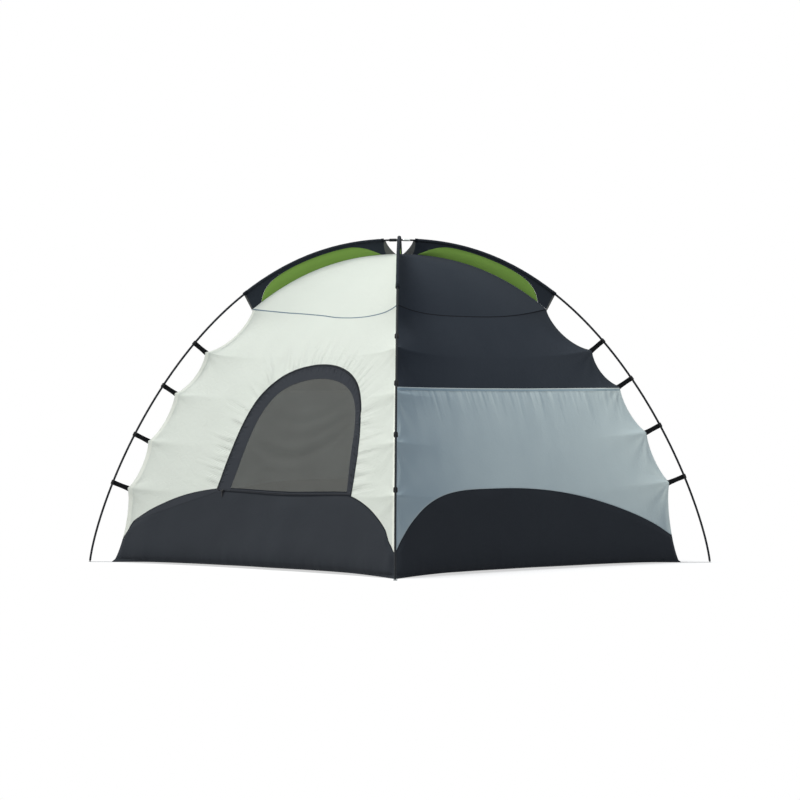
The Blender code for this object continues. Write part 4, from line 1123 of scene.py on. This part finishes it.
for face in DOOR_FACES:
    door = f"door_{face}"
    for name, inset, width, lift, thick, rows, crown, finish, node, body in (
        ("zip_coil", 0.005, 0.0062, 0.0014, 0.0030, 4, 0.0012, coil, f"door_zip_{face}", "tent"),
        ("zip_wall_tape", -0.0005, 0.0060, 0.0010, 0.0006, 1, 0.0, dark_binding, None, "tent"),
        ("zip_door_tape", 0.0120, 0.0070, 0.0010, 0.0006, 1, 0.0, slate_cloth, None, door),
    ):
        mesh = seam_mesh(face, laid_on(face, zip_line(inset)), width, lift, thick, rows, crown)
        finished(f"{name}_{face}", mesh, (finish[0], coil[1]), node, body, sharp=60.0)
    # A dark band along the foot of the door's window: painted shadow under the window's hem.
    foot = evenly([(-0.336, 0.4565), (hinge_along(0.456) - HINGE_BORDER, 0.4565)], 0.01)
    mesh = seam_mesh(face, laid_on(face, [sagged(*p) for p in foot]), 0.0050, 0.0012)
    finished(f"window_hem_painted_shadow_{face}", mesh, dark_binding, body=door)
    mesh = seam_mesh(face, laid_on(face, facing_line()), 0.0045, 0.0018)
    finished(f"hinge_seam_{face}", mesh, dark_binding)


def painted_zinc():
    """Zinc die casting under black paint: satin, worn to bare grey along its edges in chips 1.5 mm wide."""
    made, tree, shader, place = plain_surface("painted_zinc", 0.55, 0.25)
    chips = add_node(tree, "TexNoise", {"Vector": place["Object"], "Scale": 700.0, "Detail": 3.0})
    corner = add_node(tree, "NewGeometry")
    rubbed = {0: corner.outputs["Pointiness"], 1: chips.outputs["Fac"]}
    rubbed = add_node(tree, "Math", rubbed, operation="MULTIPLY")
    worn = add_node(tree, "MapRange", {"Value": rubbed.outputs[0], "From Min": 0.32, "From Max": 0.42})
    two_toned(tree, shader, worn.outputs[0], "#1b1d20", "#3c3f42")
    tree.links.new(worn.outputs[0], shader.inputs["Metallic"])
    return made


def slot_finish(node, finish):
    """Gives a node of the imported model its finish."""
    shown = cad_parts[node]
    shown.data.materials.clear()
    shown.data.materials.append(finish)


zinc = painted_zinc()
for face in DOOR_FACES:
    slot_finish(f"zip_slider_{face}", zinc)
    slot_finish(f"zip_pull_{face}", zinc)

# Fins: cloth webs that hang the roof from the poles. Each has a sleeve round its pole, a green lens set in
# above the corner seam, a corner of grey netting near the crown, and a netting tape bound over its low end.
FIN_CROWN_ANGLES = (radians(88.14), radians(89.55))
FIN_CURVE_IN = 0.0085
SLEEVE_END = radians(87.85)
SLEEVE_RADIUS = 0.0100
NET_EDGE = (0.989, 0.950)
CLOTH_TOP = 0.06
GUSSET_SPAN = (0.075, 0.925)
GUSSET_NEAREST = 0.020
GUSSET_FALLS = (0.067, 0.195)
GUSSET_BELLY = 0.0070
FIN_THICKNESS = 0.0012


def fin_point(leg, share, drop):
    """A point of a fin in its plane: drop is 0 on the pole's centre line and 1 at the seam."""
    low_pole, low_seam = angle_at_height(FIN_FOOT_HEIGHT), angle_at_height(FIN_SEAM_HEIGHT)
    at_pole = low_pole + (FIN_CROWN_ANGLES[0] - low_pole) * share
    at_seam = low_seam + (FIN_CROWN_ANGLES[1] - low_seam) * share
    r, z = between(pole_point(leg, at_pole), looked_up(seam_table[leg], at_seam), drop)
    end = max((share - 0.85) / 0.15, 0.0)
    return r + FIN_CURVE_IN * 4 * drop * (1 - drop) * end, z


def gusset_drop(leg, share):
    """How far down the fin its green gusset starts, 1 where there is none."""
    start, end = GUSSET_SPAN
    if not start < share < end:
        return 1.0
    nearest = GUSSET_NEAREST / dist(fin_point(leg, share, 0.0), fin_point(leg, share, 1.0))
    low_end = exp((start - share) / GUSSET_FALLS[0])
    crown_end = max(1 - (end - share) / GUSSET_FALLS[1], 0.0) ** 2.4
    return nearest + (1 - nearest) * max(low_end, crown_end)


def fin_mesh(leg, columns, rows, spot, belly=0.0, thickness=FIN_THICKNESS):
    """Cloth in a leg's own plane. spot(leg, across, down) gives share and drop; its faces swell by belly."""

    def place(across, down):
        share, drop = spot(leg, across, down)
        r, z = fin_point(leg, share, drop)
        swell = belly * sin(pi * down) ** 0.8 * max(sin(pi * across), 0.0) ** 0.3
        ripple = 0.0 if belly else 0.0010 * uneven(share * 24.0, drop * 3.0, 6.0)
        half = thickness / 2 + swell
        side = leg_point(leg, 0, 0, 1.0) * (2 * half / thickness)
        return leg_point(leg, r, z, half + ripple), side, (share, drop * 0.1), (share, 9.0)

    return cloth_mesh(columns, rows, place, thickness)


def net_edge(down):
    """Where along the fin its cloth ends and its corner of netting begins."""
    return NET_EDGE[0] + (NET_EDGE[1] - NET_EDGE[0]) * down


def on_cloth(leg, across, down):
    return across * net_edge(down), CLOTH_TOP + (gusset_drop(leg, across * 0.96) - CLOTH_TOP) * down


def on_gusset(leg, across, down):
    share = GUSSET_SPAN[0] + (GUSSET_SPAN[1] - GUSSET_SPAN[0]) * across
    return share, gusset_drop(leg, share) * (1 - down) + down


def on_net_corner(leg, across, down):
    return net_edge(down) + (1 - net_edge(down)) * across, 0.04 + 0.96 * down


def on_end_tape(leg, across, down):
    return -0.008 + 0.012 * across, 0.08 + 0.90 * down


def sleeve_mesh(leg, start, end, radius, columns=70):
    """A cloth tube round a pole between two angles, a little uneven."""

    def place(across, turn):
        angle = start + (end - start) * across
        r, z = pole_point(leg, angle)
        nr, nz = inward(lambda a: pole_point(leg, a), angle)
        round_cos, round_sin = cos(2 * pi * turn), sin(2 * pi * turn)
        way = leg_point(leg, nr * round_cos, nz * round_cos, round_sin)
        swell = radius * (1 + 0.05 * uneven(angle * 70.0, round_cos, round_sin))
        return leg_point(leg, r, z) + way * swell, way, (angle * 1.8, turn * 0.06), (angle * 1.8, 0.0)

    return cloth_mesh(columns, 16, place, FIN_THICKNESS)


sleeve_cloth = woven_polyester(
    "charcoal_sleeve_cloth", "#2b3036", "#24282e", gathers=(0.012, 0.05, 0.006)
), "dark_polyester"
fin_cloth = woven_polyester("charcoal_fin_cloth", "#31373e", "#2b3036", crinkle=0.9), "dark_polyester"
grey_netting = insect_netting("grey_netting_corner", 0.82, 0.96), "door_mesh"
sleeve_start = angle_at_height(FIN_FOOT_HEIGHT)

for leg in LEGS:
    mesh = fin_mesh(leg, 150, 10, on_cloth)
    made = finished(f"fin_cloth_{leg}", mesh, fin_cloth, f"fin_{leg}")
    mesh = fin_mesh(leg, 130, 14, on_gusset, GUSSET_BELLY)
    made = finished(f"fin_gusset_cloth_{leg}", mesh, green_cloth, f"fin_gusset_{leg}", sharp=60.0)
    mesh = fin_mesh(leg, 6, 16, on_net_corner, thickness=0.0010)
    made = finished(f"fin_netting_{leg}", mesh, grey_netting)
    finished(f"fin_end_tape_{leg}", fin_mesh(leg, 3, 12, on_end_tape, thickness=0.0024), grey_netting)
    mesh = sleeve_mesh(leg, sleeve_start, SLEEVE_END, SLEEVE_RADIUS)
    made = finished(f"fin_sleeve_{leg}", mesh, sleeve_cloth)
    for name, a0, a1 in (
        ("low", sleeve_start - 0.004, sleeve_start + 0.010),
        ("crown", SLEEVE_END - 0.006, SLEEVE_END + 0.001),
    ):
        mesh = sleeve_mesh(leg, a0, a1, SLEEVE_RADIUS + 0.0014, 4)
        finished(f"sleeve_binding_{name}_{leg}", mesh, dark_binding)

# Clips: a webbing strap is sewn into each corner seam and ends in a moulded hook that snaps round the pole.
# The strap is flat ribbed polyester; the hook is black nylon.
CLIP_WIDTH = 0.029
STRAP_THICKNESS = 0.0018
STRAP_PAST_SEAM = 0.012
HOOK_RADIUS = 0.0122
HOOK_WALL = 0.0055
HOOK_HEIGHT = 0.027
HOOK_MOUTH = radians(62)


def ribbed_webbing(name, *tones):
    """Flat polyester webbing: a dense ribbed weave. The 1 mm ribs are drawn 3 mm apart, so that they show."""
    ribs = {"Scale": waves_every(0.003), "Distortion": 0.6, "Detail": 1.0}
    plain = (0.4, 0.0006), 0.85, 0.15
    return patterned_surface(name, tones, "TexWave", "UV", ribs, *plain, bands_direction="DIAGONAL")


webbing = ribbed_webbing("black_ribbed_webbing", "#08090b", "#101215"), "black_webbing"
# Injection-moulded black nylon: satin, with a spark-eroded grain, drawn 1 mm wide so that it shows.
hook_nylon = patterned_surface(
    "black_moulded_nylon", ("#0b0c0e", "#131417"), "TexNoise", "Object", {"Scale": 900.0, "Detail": 2.0},
    (0.25, 0.0002), 0.55, 0.2,
), "black_nylon_coil"


def clip_axes(leg, height):
    """Where a clip sits on its pole, the ways to the canopy, up the pole and to the side, and its reach."""
    angle = angle_at_height(height)
    r, z = pole_point(leg, angle)
    nr, nz = inward(lambda a: pole_point(leg, a), angle)
    seam_r, seam_z = looked_up(seam_table[leg], angle)
    reach = (seam_r - r) * nr + (seam_z - z) * nz
    ways = leg_point(leg, nr, nz), leg_point(leg, nz, -nr), leg_point(leg, 0, 0, 1.0)
    return leg_point(leg, r, z), *ways, reach


def hook_mesh(centre, towards, upward, side):
    """An open ring round the pole, with its mouth away from the canopy and its rims rounded."""

    def place(turn, up):
        sweep = HOOK_MOUTH / 2 + (2 * pi - HOOK_MOUTH) * turn + pi
        way = towards * cos(sweep) + side * sin(sweep)
        radius = HOOK_RADIUS - 0.0016 * abs(2 * up - 1) ** 6
        spot = centre + way * radius + upward * ((up - 0.5) * HOOK_HEIGHT)
        return spot, way, (turn * 0.06, up * 0.03), UNGATHERED

    return cloth_mesh(28, 10, place, HOOK_WALL)


def strap_mesh(centre, towards, upward, side, reach):
    """The strap from the hook to just inside the seam, a little wider where it is sewn in."""
    start, end = HOOK_RADIUS - 0.004, reach + STRAP_PAST_SEAM

    def place(across, up):
        far = start + (end - start) * across
        half = CLIP_WIDTH / 2 * (1.0 - 0.10 * sin(pi * across) + 0.10 * across)
        bend = 0.0012 * sin(2 * pi * across)
        spot = centre + towards * far + upward * ((2 * up - 1) * half) + side * (STRAP_THICKNESS / 2 + bend)
        return spot, side, (far, up * CLIP_WIDTH), UNGATHERED

    return cloth_mesh(20, 8, place, STRAP_THICKNESS)


for leg in LEGS:
    for number, height in enumerate(CLIP_HEIGHTS[leg], start=1):
        *axes, reach = clip_axes(leg, height)
        mesh = strap_mesh(*axes, reach)
        finished(f"clip_strap_{leg}_{number}", mesh, webbing, f"clip_{leg}_{number}")
        finished(f"clip_hook_{leg}_{number}", hook_mesh(*axes), hook_nylon)

# Corner tabs: flat grey webbing from the floor's corners to the pole tips, each with a rolled steel eyelet
# that the tip's spigot stands in.
TAB_WIDTH = 0.020
TAB_THICKNESS = 0.0012
TAB_LEVEL = 0.0008
TAB_UNDER_FLOOR = 0.004
EYELET_INSIDE = 0.0042
EYELET_WIDTH = 0.0040


def tab_mesh(leg):
    start, end = POLE_FOOT - TAB_REACH[leg] - TAB_UNDER_FLOOR, POLE_FOOT + TAB_WIDTH / 2

    def place(across, up):
        r = start + (end - start) * across
        past = max(r - POLE_FOOT, 0.0) / (TAB_WIDTH / 2)
        half = TAB_WIDTH / 2 * sqrt(max(1 - past * past, 0.02))
        spot = leg_point(leg, r, TAB_LEVEL + TAB_THICKNESS, (2 * up - 1) * half)
        return spot, Vector((0, 0, 1)), (r, up * TAB_WIDTH), UNGATHERED

    return cloth_mesh(40, 6, place, TAB_THICKNESS)


def eyelet_mesh(leg):
    """A rolled ring: round in section, flat below."""
    centre = leg_point(leg, POLE_FOOT, TAB_LEVEL + TAB_THICKNESS)

    def place(turn, across):
        way = Vector((cos(2 * pi * turn), sin(2 * pi * turn), 0.0))
        rise = Vector((0, 0, 0.0003 + 0.0011 * sin(pi * across)))
        spot = centre + way * (EYELET_INSIDE + EYELET_WIDTH * across) + rise
        return spot, Vector((0, 0, 1)), (turn, across), UNGATHERED

    return cloth_mesh(36, 8, place, 0.0009)


grey_webbing = ribbed_webbing("grey_ribbed_webbing", "#8e9294", "#a6aaab"), "black_webbing"
for leg in LEGS:
    finished(f"tab_webbing_{leg}", tab_mesh(leg), grey_webbing, f"corner_tab_{leg}")
    finished(f"tab_eyelet_{leg}", eyelet_mesh(leg), bright_steel)

# Shock cords: polyester braid over rubber strands inside both poles, which draws their halves together. It is
# pale, with a diamond braid about 2 mm long. Only the joints show it.
elastic = patterned_surface(
    "braided_elastic", ("#d2d2cd", "#9a9a96"), "TexVoronoi", "Object", {"Scale": 1 / 0.002}, None, 0.9,
    output="Distance",
)
for level in ("lower", "upper"):
    slot_finish(f"shock_cord_{level}", elastic)

# The low front lamp's rake along the dark side, at a strength that the white front would clip under.
# It gives no highlight: from behind, its warm glance would turn the dark cloth brown.
raking = lamp("raking_lamp", 6.0, 12.0, 5.0, 6.0, "#ffeed6")
raking.data.use_shadow = False
raking.visible_glossy = False
raked = bpy.data.collections.new("raked_side")
for name in ("blue_grey_wall", "dark_wall", "roof_cloth", "side_seam", "side_seam_painted_shade"):
    raked.objects.link(bpy.data.objects[f"{name}_right"])
raking.light_linking.receiver_collection = raked

dressed_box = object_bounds()


def plain(box):
    return [[round(float(value), 5) for value in corner] for corner in box]


{"cad": plain(cad_box), "visual": plain(dressed_box)}
